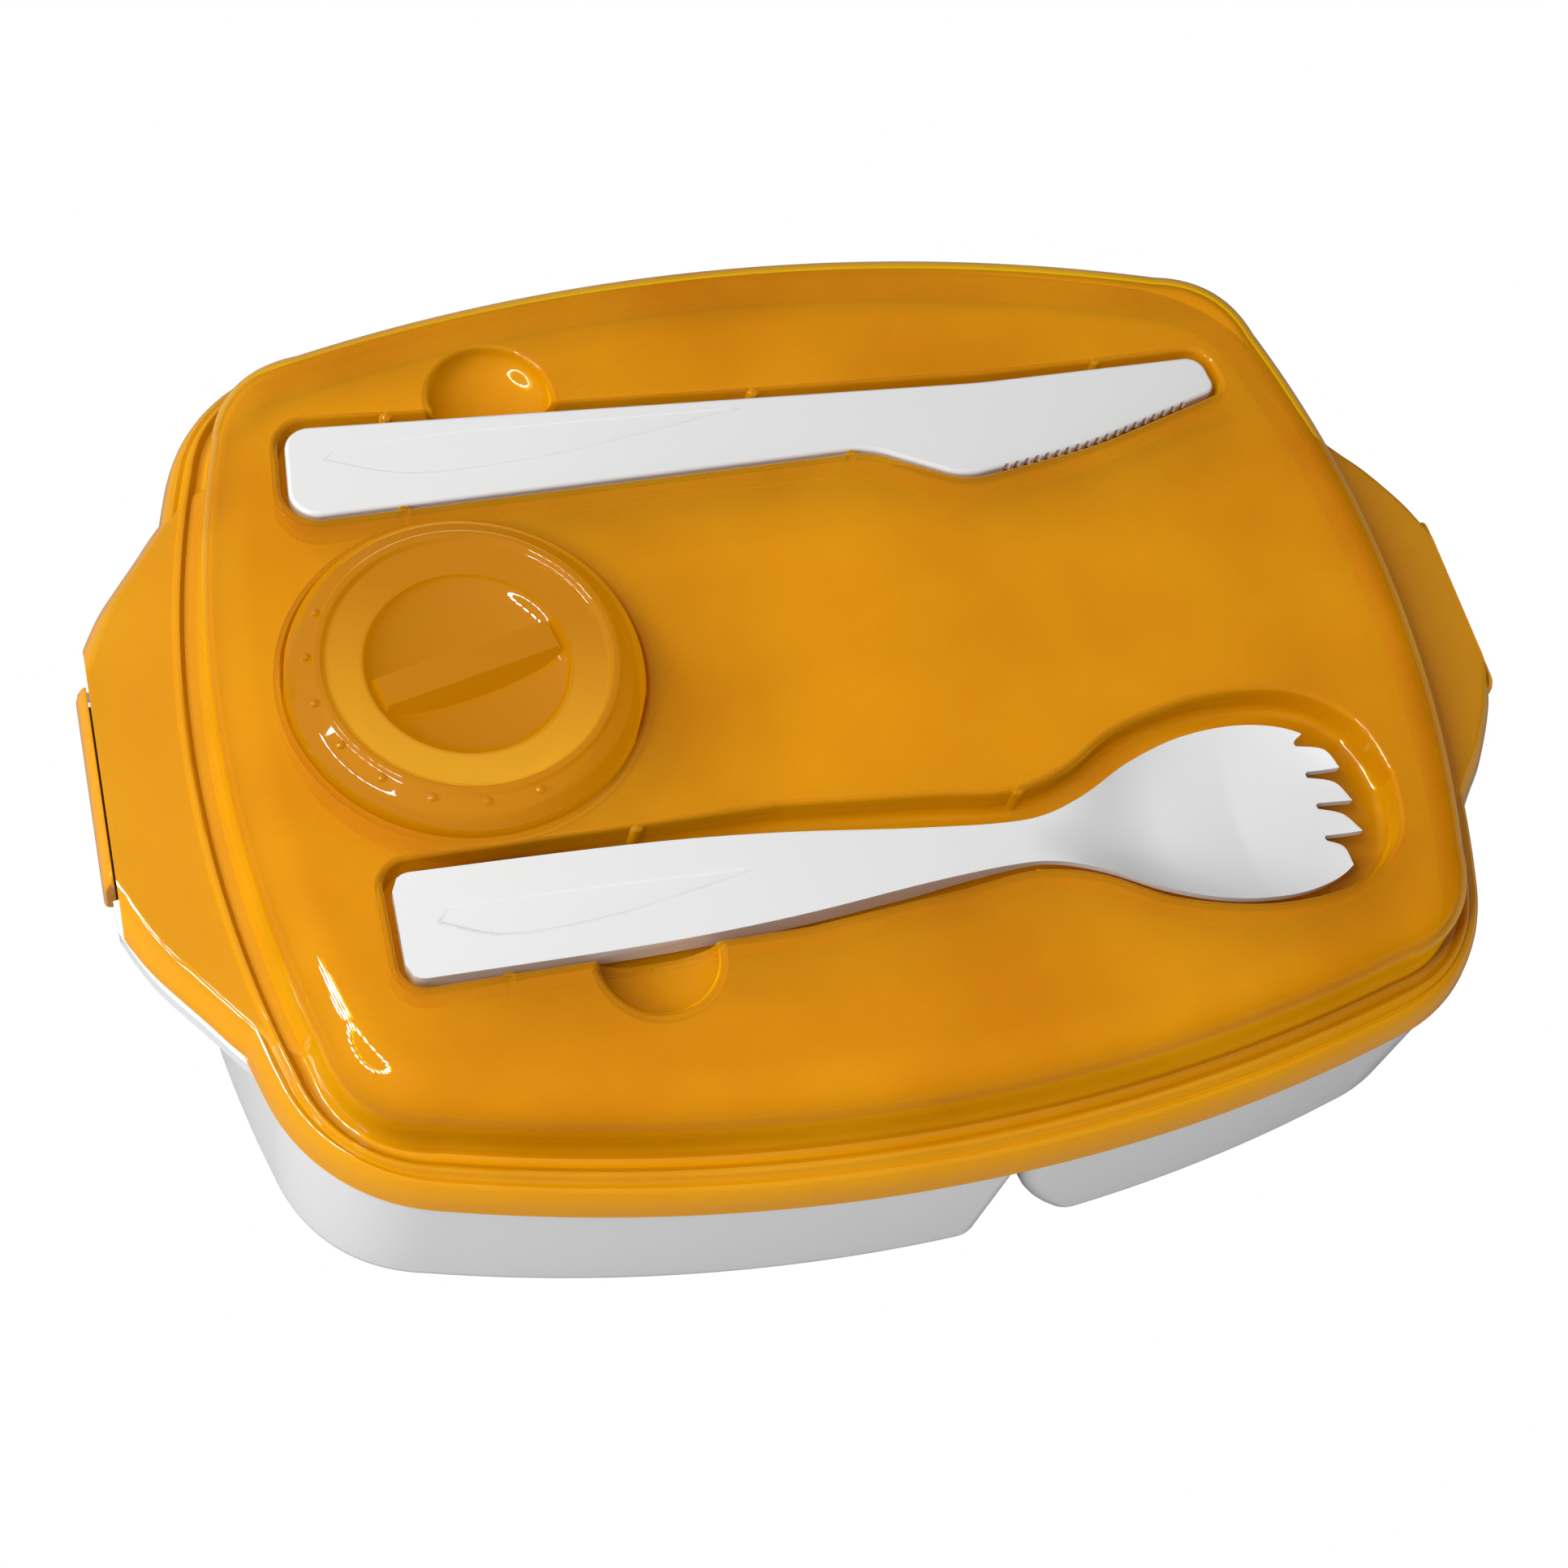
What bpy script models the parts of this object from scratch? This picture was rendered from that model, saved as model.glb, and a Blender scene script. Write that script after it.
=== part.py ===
"""Two-compartment plastic lunch box, shut, with a knife, a spork and a round dressing pot held in its lid."""

import math

import bmesh
import bpy

MM = 0.001
GAP = 0.35

# Plan of the lid's rim, in millimetres: four shallow arcs joined by round corners
RIM_HALF_LENGTH = 115.8
RIM_HALF_WIDTH = 92.7
LONG_SIDE_RADIUS = 312.7
SHORT_SIDE_RADIUS = 207.9
CORNER_RADIUS = 32.7
# The lid's shoulder and the tubs' feet stand out further at the corners than an even inset would
SHOULDER_CORNER_FILL = 1.7
TUB_CORNER_FILL = 1.0

# Heights above the floor
BASE_HEIGHT = 40.0
PANEL_ABOVE_SKIRT = 22.0
PANEL_Z = BASE_HEIGHT + PANEL_ABOVE_SKIRT
WALL = 1.8

# Lid shoulder: an upright side, then a quarter ellipse up to the flat panel
SIDE_INSET = 7.0
SIDE_TOP = 13.0
SHOULDER_REACH = 11.5
SHOULDER_STEPS = 6

# End tabs, with the snap clips on their straight outer edge
TAB_REACH = 125.3
TAB_HALF_WIDTH = 16.4
TAB_ROOT_HALF_WIDTH = 44.0
TAB_TOP = 6.2
RIGHT_TAB_SPREAD = -1.8
CLIP_HALF_WIDTH = 18.6
CLIP_TOP = 4.8
CLIP_DROP = 11.0
CLIP_THICKNESS = 1.9
CLIP_SLOPE = 4.0
CLIP_HOOK = 1.4

# Base: two tubs under one rim plate
TUB_INSET = 0.8
TUB_DRAFT_INSET = 1.0
TUB_FILLET = 7.0
PARTING_X = 11.4
PARTING_CORNER_RADIUS = 4.0
RIGHT_WALL_CURVE = 90.0
PLATE_INSET = 3.0
PLATE_UNDER = 2.5
PLATE_OVER = 3.4

# Recesses in the panel
POCKET_DEPTH = 7.0
LIP = 0.9
FINGER_BOWL_DEPTH = 6.0
KNIFE_FINGER_BOWL = (-50.8, 56.3, 10.6)
SPORK_FINGER_BOWL = (-45.3, -53.5, 9.8)

# Knife, along X from its handle's end
KNIFE_LENGTH = 173.0
KNIFE_END_X = -89.3
KNIFE_Y = 45.0
KNIFE_TOP = PANEL_Z - 0.9
KNIFE_HANDLE_LENGTH = 104.0
BLADE_THICKNESS = 2.0
TOOTH_PITCH = 2.4
TOOTH_DEPTH = 0.45

# Spork, along X from its handle's end
SPORK_LENGTH = 165.0
SPORK_END_X = -84.4
SPORK_Y = -41.9
SPORK_TURN = math.radians(-0.9)
SPORK_TOP = PANEL_Z - 0.5
SPORK_POCKET_Y = -41.6
SHEET_THICKNESS = 1.4
BOWL_DEPTH = 4.4
HANDLE_THICKNESS = 4.8

# Dressing pot, a turned cap standing in a round well
POT_X = -65.6
POT_Y = 1.0
POT_RADIUS = 29.5
POT_RISE = 5.0
RING_RADIUS = 24.2
DISH_RADIUS = 17.0
DISH_DEPTH = 4.6
GRIP_TURN = math.radians(13.6)
NUB_RING_RADIUS = 26.0
NUB_COUNT = 8
NUB_FIRST_ANGLE = 151.5
NUB_STEP_ANGLE = 19.05

ORANGE = (0.62, 0.24, 0.008, 1.0)
DEEP_ORANGE = (0.50, 0.17, 0.004, 1.0)
WHITE = (0.82, 0.82, 0.83, 1.0)


def clear_scene():
    for old in list(bpy.data.objects):
        bpy.data.objects.remove(old, do_unlink=True)


def plastic(name, colour, roughness):
    material = bpy.data.materials.new(name)
    material.use_nodes = True
    shader = material.node_tree.nodes["Principled BSDF"]
    shader.inputs["Base Color"].default_value = colour
    shader.inputs["Roughness"].default_value = roughness
    shader.inputs["Metallic"].default_value = 0.0
    material.diffuse_color = colour
    return material


def arc(centre, radius, start, end, steps, fill=0.0):
    """Points on a circle, from one angle to another, both included. The fill bulges it out at each 45 degrees."""
    points = []
    for i in range(steps + 1):
        angle = start + (end - start) * i / steps
        reach = radius + fill * math.sin(2 * angle) ** 2
        points.append((centre[0] + reach * math.cos(angle), centre[1] + reach * math.sin(angle)))
    return points


def corner_centre():
    """Where the circle that rounds the rim's corner is centred: it touches both side arcs."""
    from_long = LONG_SIDE_RADIUS - CORNER_RADIUS
    from_short = SHORT_SIDE_RADIUS - CORNER_RADIUS
    long_y = RIM_HALF_WIDTH - LONG_SIDE_RADIUS
    short_x = RIM_HALF_LENGTH - SHORT_SIDE_RADIUS
    apart = math.hypot(short_x, long_y)
    along = (apart ** 2 + from_long ** 2 - from_short ** 2) / (2 * apart)
    across = math.sqrt(from_long ** 2 - along ** 2)
    unit = (short_x / apart, -long_y / apart)
    return (unit[0] * along + unit[1] * across, long_y + unit[1] * along - unit[0] * across)


def joint_angles():
    """The angles at which the corner's arc meets the short side and the long side."""
    centre = corner_centre()
    at_short = math.atan2(centre[1], centre[0] - (RIM_HALF_LENGTH - SHORT_SIDE_RADIUS))
    at_long = math.atan2(centre[1] - (RIM_HALF_WIDTH - LONG_SIDE_RADIUS), centre[0])
    return at_short, at_long


def quarter(inset, long_end, steps, fill):
    """A quarter of the rim outline, from the short side's middle round to an angle on the long side."""
    short_steps, corner_steps, long_steps = steps
    at_short, at_long = joint_angles()
    short_centre = (RIM_HALF_LENGTH - SHORT_SIDE_RADIUS, 0.0)
    long_centre = (0.0, RIM_HALF_WIDTH - LONG_SIDE_RADIUS)
    points = arc(short_centre, SHORT_SIDE_RADIUS - inset, 0.0, at_short, short_steps, fill)
    points += arc(corner_centre(), CORNER_RADIUS - inset, at_short, at_long, corner_steps, fill)[1:]
    points += arc(long_centre, LONG_SIDE_RADIUS - inset, at_long, long_end, long_steps, fill)[1:]
    return points


def rim_outline(inset, fill=0.0, steps=(4, 6, 7)):
    """The whole rim outline, anticlockwise, moved inwards by the inset."""
    part = quarter(inset, math.pi / 2, steps, fill)
    outline = list(part)
    outline += [(-x, y) for x, y in reversed(part[:-1])]
    outline += [(-x, -y) for x, y in part[1:]]
    outline += [(x, -y) for x, y in reversed(part[1:-1])]
    return outline


def at_height(outline, z):
    return [(x, y, z) for x, y in outline]


def smooth_line(points, steps):
    """A Catmull-Rom line through the points, with this many steps between each two."""
    ends = [points[0]] + list(points) + [points[-1]]
    line = [points[0]]
    for a, b, c, d in zip(ends, ends[1:], ends[2:], ends[3:]):
        for i in range(1, steps + 1):
            t = i / steps
            line.append(tuple(between(p, q, r, s, t) for p, q, r, s in zip(a, b, c, d)))
    return line


def between(p, q, r, s, t):
    """The Catmull-Rom value a fraction t of the way from q to r, with p before them and s after."""
    bend = 2 * p - 5 * q + 4 * r - s
    twist = 3 * q - p - 3 * r + s
    return 0.5 * (2 * q + (r - p) * t + bend * t ** 2 + twist * t ** 3)


def rounded(corners, steps=4):
    """An outline from (x, y, radius) corners, each one rounded by an arc that touches both sides."""
    outline = []
    for i, (x, y, radius) in enumerate(corners):
        before = corners[i - 1]
        after = corners[(i + 1) % len(corners)]
        into = math.atan2(y - before[1], x - before[0])
        out = math.atan2(after[1] - y, after[0] - x)
        turn = (out - into + math.pi) % (2 * math.pi) - math.pi
        reach = radius * math.tan(abs(turn) / 2)
        side = math.copysign(1.0, turn)
        centre = (
            x - reach * math.cos(into) - side * radius * math.sin(into),
            y - reach * math.sin(into) + side * radius * math.cos(into),
        )
        start = into - side * math.pi / 2
        outline += arc(centre, radius, start, start + turn, steps)
    return outline


def grown(outline, distance):
    """The outline moved outwards by a distance, corner by corner."""
    moved = []
    count = len(outline)
    for i, (x, y) in enumerate(outline):
        before = outline[i - 1]
        after = outline[(i + 1) % count]
        into = math.atan2(y - before[1], x - before[0])
        out = math.atan2(after[1] - y, after[0] - x)
        turn = (out - into + math.pi) % (2 * math.pi) - math.pi
        normal = into + turn / 2 - math.pi / 2
        reach = distance / max(math.cos(turn / 2), 0.5)
        moved.append((x + reach * math.cos(normal), y + reach * math.sin(normal)))
    return moved


def new_object(name, mesh_maker, material=None):
    shape = bmesh.new()
    mesh_maker(shape)
    bmesh.ops.remove_doubles(shape, verts=shape.verts, dist=1e-7)
    bmesh.ops.recalc_face_normals(shape, faces=shape.faces)
    mesh = bpy.data.meshes.new(name)
    shape.to_mesh(mesh)
    shape.free()
    thing = bpy.data.objects.new(name, mesh)
    bpy.context.collection.objects.link(thing)
    if material:
        mesh.materials.append(material)
        mesh.shade_smooth()
        mesh.set_sharp_from_angle(angle=math.radians(35))
    else:
        thing.hide_render = True
        thing.display_type = "WIRE"
    return thing


def loft(shape, rings):
    """Skins a stack of rings, in millimetres, that all have the same number of points, and caps both ends."""
    loops = []
    for ring in rings:
        loops.append([shape.verts.new((x * MM, y * MM, z * MM)) for x, y, z in ring])
    count = len(loops[0])
    for low, high in zip(loops, loops[1:]):
        for i in range(count):
            j = (i + 1) % count
            shape.faces.new((low[i], low[j], high[j], high[i]))
    shape.faces.new(list(reversed(loops[0])))
    shape.faces.new(loops[-1])


def lofted(name, rings, material=None):
    return new_object(name, lambda shape: loft(shape, rings), material)


def turned(name, profile, centre, segments, material=None):
    """A solid turned about an upright axis, from (radius, z) points that run from the foot to the top."""
    rings = []
    for radius, z in profile:
        circle = arc(centre, radius, 0.0, 2 * math.pi, segments)[:-1]
        rings.append(at_height(circle, z))
    return lofted(name, rings, material)


def combine(target, tool, operation):
    modifier = target.modifiers.new(tool.name, "BOOLEAN")
    modifier.operation = operation
    modifier.object = tool
    modifier.solver = "EXACT"
    return modifier


def skirt_profile():
    """Outside of the lid as (inset, height above the skirt's lower edge): skirt, bead, groove, side, shoulder."""
    profile = [(0.0, 0.0), (0.7, 4.2), (1.9, 5.9), (2.9, 6.9), (3.8, 7.0), (4.9, 6.1), (6.0, 6.2), (6.5, 7.4)]
    rise = PANEL_ABOVE_SKIRT - SIDE_TOP
    for i in range(SHOULDER_STEPS + 1):
        angle = math.pi / 2 * i / SHOULDER_STEPS
        inset = SIDE_INSET + SHOULDER_REACH * (1 - math.cos(angle))
        profile.append((inset, SIDE_TOP + rise * math.sin(angle)))
    return profile


def inner_profile():
    """Inside of the lid, a wall's thickness behind the outside."""
    profile = [(WALL, -1.0), (2.5, 4.2), (SIDE_INSET + WALL - 0.4, 4.4)]
    rise = PANEL_ABOVE_SKIRT - WALL - SIDE_TOP
    for i in range(0, SHOULDER_STEPS + 1, 2):
        angle = math.pi / 2 * i / SHOULDER_STEPS
        inset = SIDE_INSET + WALL + SHOULDER_REACH * (1 - math.cos(angle))
        profile.append((inset, SIDE_TOP + rise * math.sin(angle)))
    return profile


def rim_rings(profile):
    """Rim outlines at each (inset, height) of a profile, filled out at the corners from the bead inwards."""
    rings = []
    for inset, z in profile:
        fill = SHOULDER_CORNER_FILL * min(max((inset - 2.0) / 5.0, 0.0), 1.0)
        rings.append(at_height(rim_outline(inset, fill), BASE_HEIGHT + z))
    return rings


def tab_edge(side, spread):
    """One free edge of an end tab, from its root out to the hinge edge, moved outwards by the spread."""
    spread += RIGHT_TAB_SPREAD if side > 0 else 0.0
    edge = smooth_line(
        [
            (108.0, TAB_ROOT_HALF_WIDTH + 2.5),
            (112.0, TAB_ROOT_HALF_WIDTH - 3.6),
            (118.1, 30.2),
            (122.0, 22.6),
            (TAB_REACH - 0.6, TAB_HALF_WIDTH),
        ],
        3,
    )
    return [(x + spread * 0.55, y + spread * 0.85) for x, y in edge]


def mirrored(side, upper):
    """A closed anticlockwise outline from its upper half, which runs outwards along +X, at either end of the box."""
    outline = [(side * x, y) for x, y in upper] + [(side * x, -y) for x, y in reversed(upper)]
    return outline if side < 0 else list(reversed(outline))


def tab_outline(side, spread):
    """Plan of an end tab, from inside the rim out to the straight hinge edge."""
    edge = tab_edge(side, spread)
    edge[-1] = (TAB_REACH, edge[-1][1])
    return mirrored(side, [(104.0, edge[0][1])] + edge)


def tab(name, side):
    """An end tab of the lid: a flat top, a soft edge and a sloping flange down to the base's tab."""
    levels = [(3.2, 0.6), (2.6, 2.6), (1.0, 4.9), (0.5, 5.9), (0.0, TAB_TOP)]
    return lofted(name, [at_height(tab_outline(side, spread), BASE_HEIGHT + z) for spread, z in levels])


def tab_hollow(name, side):
    """What is open under an end tab, between the skirt and the tab's own edges."""
    root = RIM_HALF_LENGTH + WALL
    edge = [(min(x, TAB_REACH - WALL), y) for x, y in tab_edge(side, -WALL) if root < x]
    outline = mirrored(side, [(root, edge[0][1] + 1.0)] + edge)
    return lofted(name, [at_height(outline, BASE_HEIGHT - 1.0), at_height(outline, BASE_HEIGHT + TAB_TOP - WALL)])


def knife_outline():
    """Plan of the knife, anticlockwise, from the handle's near corner: handle, neck, belly and toothed edge."""
    x0 = KNIFE_END_X
    corners = [
        (x0, KNIFE_Y - 9.2, 5.0),
        (x0 + 103.0, KNIFE_Y - 7.2, 16.0),
        (x0 + 119.5, KNIFE_Y - 15.6, 12.0),
        (x0 + 145.0, KNIFE_Y - 11.4, 90.0),
        (x0 + KNIFE_LENGTH + 0.5, KNIFE_Y - 2.6, 2.5),
        (x0 + KNIFE_LENGTH - 0.5, KNIFE_Y + 5.4, 3.6),
        (x0 + 128.0, KNIFE_Y + 4.6, 150.0),
        (x0 + 1.6, KNIFE_Y + 9.5, 4.6),
    ]
    return rounded(corners)


def toothed(outline):
    """The knife's outline with small teeth along the last part of its cutting edge."""
    first = KNIFE_END_X + 134.0
    last = KNIFE_END_X + KNIFE_LENGTH - 3.0
    result = []
    for i, point in enumerate(outline):
        result.append(point)
        after = outline[(i + 1) % len(outline)]
        if point[0] < first - 12.0 or after[0] <= point[0] or after[0] > last or point[1] > KNIFE_Y:
            continue
        teeth = int((after[0] - point[0]) / TOOTH_PITCH)
        for tooth in range(1, 2 * teeth):
            t = tooth / (2 * teeth)
            lift = TOOTH_DEPTH if tooth % 2 else 0.0
            x = point[0] + (after[0] - point[0]) * t
            y = point[1] + (after[1] - point[1]) * t + lift
            result.append((x, y))
    return result


def knife(material):
    """The knife: one plan outline whose handle is deep and whose blade is thin."""
    outline = toothed(knife_outline())
    bottom = PANEL_Z - POCKET_DEPTH + GAP
    blade_from = KNIFE_END_X + KNIFE_HANDLE_LENGTH
    rings = []
    for inset, depth in ((0.7, 1.0), (0.0, 0.86), (0.0, 0.12), (0.8, 0.0)):
        ring = []
        for x, y in grown(outline, -inset):
            reach = min(max((x - blade_from) / 12.0, 0.0), 1.0)
            thickness = (KNIFE_TOP - bottom) * (1 - reach) + BLADE_THICKNESS * reach
            ring.append((x, y, KNIFE_TOP - thickness * depth))
        rings.append(ring)
    return lofted("knife", rings, material)


def spork_half_width(s):
    """Half the spork's width at a distance s from its handle's end."""
    line = [(0.0, 9.2), (38.0, 8.9), (62.0, 7.6), (86.0, 5.0), (101.0, 3.9), (109.0, 4.4), (117.0, 7.2),
            (126.0, 11.9), (136.0, 15.3), (146.0, 16.4), (154.0, 15.4), (160.0, 12.6), (166.0, 6.5)]
    return value_at(smooth_line(line, 4), s)


def value_at(line, s):
    for (s0, v0), (s1, v1) in zip(line, line[1:]):
        if s <= s1:
            return v0 + (v1 - v0) * (s - s0) / (s1 - s0)
    return line[-1][1]


def spork_section(s):
    """One cross-section of the spork, as a closed ring of (s, across, z) points: top from side to side, then under."""
    half = spork_half_width(s)
    if s < 3.0:
        half -= 3.0 - math.sqrt(max(9.0 - (3.0 - s) ** 2, 0.0))
    bowl = min(max((s - 104.0) / 26.0, 0.0), 1.0)
    bowl = bowl * bowl * (3 - 2 * bowl)
    bowl *= 1.0 - 0.55 * min(max((s - 144.0) / 22.0, 0.0), 1.0)
    thickness = HANDLE_THICKNESS + (SHEET_THICKNESS - HANDLE_THICKNESS) * min(max((s - 84.0) / 22.0, 0.0), 1.0)
    rim = SPORK_TOP - 0.3 * min(max((s - 90.0) / 20.0, 0.0), 1.0)
    fractions = (-1.0, -0.86, -0.6, -0.3, 0.0, 0.3, 0.6, 0.86, 1.0)
    top = []
    under = []
    for u in fractions:
        edge = 0.7 if abs(u) == 1.0 and s < 104.0 else 0.0
        z = rim - BOWL_DEPTH * bowl * (1 - u * u) - edge
        top.append((s, half * u, z))
        under.append((s, half * u * 0.985, z + edge - thickness))
    return top + list(reversed(under))


def spork(material):
    """The spork, lofted from cross-sections along its length, with its tines sawn out of the end."""
    stations = [0.0, 0.8, 3.0, 20.0, 40.0, 60.0, 78.0, 90.0, 100.0, 106.0, 112.0, 118.0, 124.0, 130.0, 136.0,
                142.0, 148.0, 153.0, 157.0, 160.0, 163.0, SPORK_LENGTH + 0.6]
    rings = []
    for s in stations:
        ring = []
        for along, across, z in spork_section(s):
            x = SPORK_END_X + along * math.cos(SPORK_TURN) - across * math.sin(SPORK_TURN)
            y = SPORK_Y + along * math.sin(SPORK_TURN) + across * math.cos(SPORK_TURN)
            ring.append((x, y, z))
        rings.append(ring)
    body = lofted("spork", rings, material)
    combine(body, tine_cutter(), "DIFFERENCE")
    return body


def tine_cutter():
    """A saw-toothed block past the spork's end: each tine has one straight edge and one slanting edge."""
    tips = [(160.0, 13.6), (164.4, 6.2), (165.2, 0.2), (164.4, -6.2), (160.0, -12.4)]
    roots = [(157.6, 12.0), (158.4, 6.3), (158.6, 0.4), (157.8, -6.0)]
    line = [(158.0, 19.0), tips[0]]
    for root, tip in zip(roots, tips[1:]):
        line.append((root[0], root[1] + 0.5))
        line.append((root[0], root[1] - 0.5))
        line.append(tip)
    line += [(158.0, -19.0), (175.0, -19.0), (175.0, 19.0)]
    placed = []
    for along, across in line:
        x = SPORK_END_X + along * math.cos(SPORK_TURN) - across * math.sin(SPORK_TURN)
        y = SPORK_Y + along * math.sin(SPORK_TURN) + across * math.cos(SPORK_TURN)
        placed.append((x, y))
    return lofted("tine_cutter", [at_height(placed, PANEL_Z - 20.0), at_height(placed, PANEL_Z + 10.0)])


def spork_pocket_outline():
    """Plan of the spork's pocket, anticlockwise: the same curve on both sides of its middle line."""
    corner = arc((-81.1, -6.5), 4.5, -math.pi, -math.pi / 2, 4)
    side = [(-20.0, -11.0), (6.0, -8.8), (20.0, -7.4), (31.0, -10.0), (43.0, -16.4), (60.0, -20.1), (76.0, -18.4),
            (85.6, -10.8), (88.3, 0.0)]
    half = corner + smooth_line(side, 3)
    full = half + [(x, -y) for x, y in reversed(half[:-1])]
    return [(x, y + SPORK_POCKET_Y) for x, y in full]


def pocket(name, outline, extra=0.0):
    """Cutter for a pocket: a rounded lip at the panel, steep sides and a rounded foot."""
    floor = PANEL_Z - POCKET_DEPTH - extra
    if extra:
        levels = [(extra - 0.4, floor), (extra, PANEL_Z + 1.0)]
    else:
        levels = [(-1.4, floor), (-0.5, floor + 0.3), (-0.15, floor + 1.1), (0.0, PANEL_Z - LIP)]
        levels += [(0.27 * LIP, PANEL_Z - 0.35 * LIP), (LIP, PANEL_Z), (LIP, PANEL_Z + 0.5)]
    return lofted(name, [at_height(grown(outline, spread), z) for spread, z in levels])


def finger_bowl(name, bowl, extra=0.0):
    """Cutter for a finger recess: a shallow dish with a small rounded lip."""
    x, y, radius = bowl
    depth = FINGER_BOWL_DEPTH + extra
    profile = []
    steps = 4
    for i in range(steps + 1):
        angle = math.pi / 2 * i / steps
        profile.append((max((radius + extra) * math.sin(angle), 0.6), PANEL_Z - LIP * 0.4 - depth * math.cos(angle)))
    if not extra:
        profile.append((radius + LIP * 0.7, PANEL_Z))
    profile.append((radius + extra + LIP * 0.7, PANEL_Z + 0.7))
    return turned(name, profile, (x, y), 24)


def pot_well(name, extra=0.0):
    radius = POT_RADIUS + GAP
    floor = PANEL_Z - POCKET_DEPTH - extra
    profile = [(radius + extra, floor), (radius + extra, PANEL_Z - 0.4), (radius + extra + 0.5, PANEL_Z + 0.1)]
    profile.append((radius + extra + 0.5, PANEL_Z + 0.8))
    return turned(name, profile, (POT_X, POT_Y), 48)


def catch_ribs():
    """Small upright ribs on the pockets' walls, which hold the knife and the spork: (x, y, radius)."""
    knife_ribs = [(-69.8, 34.9), (10.9, 36.5), (-69.4, 55.1), (-3.6, 52.5), (62.8, 51.8)]
    spork_ribs = [(-69.0, -53.3), (20.4, -50.0), (-43.7, -30.1), (21.4, -33.5)]
    return [(x, y, 1.15) for x, y in knife_ribs] + [(x, y, 1.3) for x, y in spork_ribs]


def lid(material):
    """The lid: a thin shell with its pockets, well and finger recesses let into the panel."""
    shell = lofted("lid", rim_rings(skirt_profile()), material)
    for name, side in (("tab_left", -1), ("tab_right", 1)):
        combine(shell, tab(name, side), "UNION")
    hollow = lofted("lid_hollow", rim_rings(inner_profile()))
    knife_plan = grown(knife_outline(), 1.2)
    spork_plan = spork_pocket_outline()
    combine(hollow, pocket("knife_wall", knife_plan, WALL), "DIFFERENCE")
    combine(hollow, pocket("spork_wall", spork_plan, WALL), "DIFFERENCE")
    combine(hollow, pot_well("well_wall", WALL), "DIFFERENCE")
    combine(hollow, finger_bowl("knife_bowl_wall", KNIFE_FINGER_BOWL, WALL), "DIFFERENCE")
    combine(hollow, finger_bowl("spork_bowl_wall", SPORK_FINGER_BOWL, WALL), "DIFFERENCE")
    combine(shell, hollow, "DIFFERENCE")
    for name, side in (("tab_hollow_left", -1), ("tab_hollow_right", 1)):
        combine(shell, tab_hollow(name, side), "DIFFERENCE")
    combine(shell, pocket("knife_pocket", knife_plan), "DIFFERENCE")
    combine(shell, pocket("spork_pocket", spork_plan), "DIFFERENCE")
    combine(shell, pot_well("pot_well"), "DIFFERENCE")
    combine(shell, finger_bowl("knife_bowl", KNIFE_FINGER_BOWL), "DIFFERENCE")
    combine(shell, finger_bowl("spork_bowl", SPORK_FINGER_BOWL), "DIFFERENCE")
    for i, (x, y, radius) in enumerate(catch_ribs()):
        profile = [(radius, PANEL_Z - POCKET_DEPTH - 0.8), (radius, PANEL_Z - 0.9), (radius * 0.5, PANEL_Z - 0.25)]
        combine(shell, turned(f"catch_rib_{i + 1}", profile, (x, y), 10), "UNION")
    return shell


def tub_levels():
    """Heights and insets of a tub's wall, from under the rim down round the fillet: (z, inset, fillet angle)."""
    levels = [(BASE_HEIGHT - GAP, TUB_INSET, 0.0), (BASE_HEIGHT - 11.0, TUB_INSET + 0.2, 0.0)]
    levels += [(BASE_HEIGHT - 22.0, TUB_INSET + 0.4, 0.0)]
    for angle in (0.0, 20.0, 40.0, 60.0, 78.0):
        turn = math.radians(angle)
        inset = TUB_DRAFT_INSET + TUB_FILLET * (1 - math.cos(turn))
        levels.append((TUB_FILLET * (1 - math.sin(turn)), inset, turn))
    levels.append((0.0, TUB_DRAFT_INSET + TUB_FILLET * 1.02, math.pi / 2))
    return levels


def parting_wall(side, z, turn):
    """Where a tub's wall towards its neighbour stands: upright on the left tub, curving away on the right one."""
    depth = BASE_HEIGHT - z
    foot = TUB_FILLET * (1 - math.cos(turn))
    if side > 0:
        return PARTING_X + GAP + depth ** 2 / RIGHT_WALL_CURVE + 0.7 * foot
    return PARTING_X - foot


def tub_ring(side, z, inset, turn):
    """One ring of a tub: the rim outline at its end of the box, closed by a straight wall with round corners."""
    wall = side * parting_wall(side, z, turn)
    radius = PARTING_CORNER_RADIUS
    fill = TUB_CORNER_FILL * (BASE_HEIGHT - z) / BASE_HEIGHT
    long_y = RIM_HALF_WIDTH - LONG_SIDE_RADIUS
    reach = LONG_SIDE_RADIUS - inset - radius
    centre_x = wall + radius
    centre = (centre_x, long_y + math.sqrt(reach ** 2 - centre_x ** 2))
    long_end = math.atan2(centre[1] - long_y, centre[0])
    half = quarter(inset, long_end, (3, 5, 5), fill)
    half += arc(centre, radius, long_end, math.pi, 4)[1:]
    ring = [(x, y) for x, y in half] + [(x, -y) for x, y in reversed(half[1:])]
    if side < 0:
        ring = [(-x, y) for x, y in reversed(ring)]
    return at_height(ring, z)


def base_tab(name, side):
    """The base's end tab under the lid's: it shows as a thin edge, and leaves the clip free to pass."""
    tip = (TAB_REACH + 0.8, CLIP_HALF_WIDTH + 1.2)
    edge = [(x, y) for x, y in tab_edge(side, 3.8) if x < tip[0] and y > tip[1] + 0.5]
    upper = [(104.0, edge[0][1])] + edge + [tip, (TAB_REACH - CLIP_HOOK, CLIP_HALF_WIDTH + 0.8)]
    outline = mirrored(side, upper)
    return lofted(name, [at_height(outline, BASE_HEIGHT - 3.6), at_height(outline, BASE_HEIGHT - 0.5)])


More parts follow.
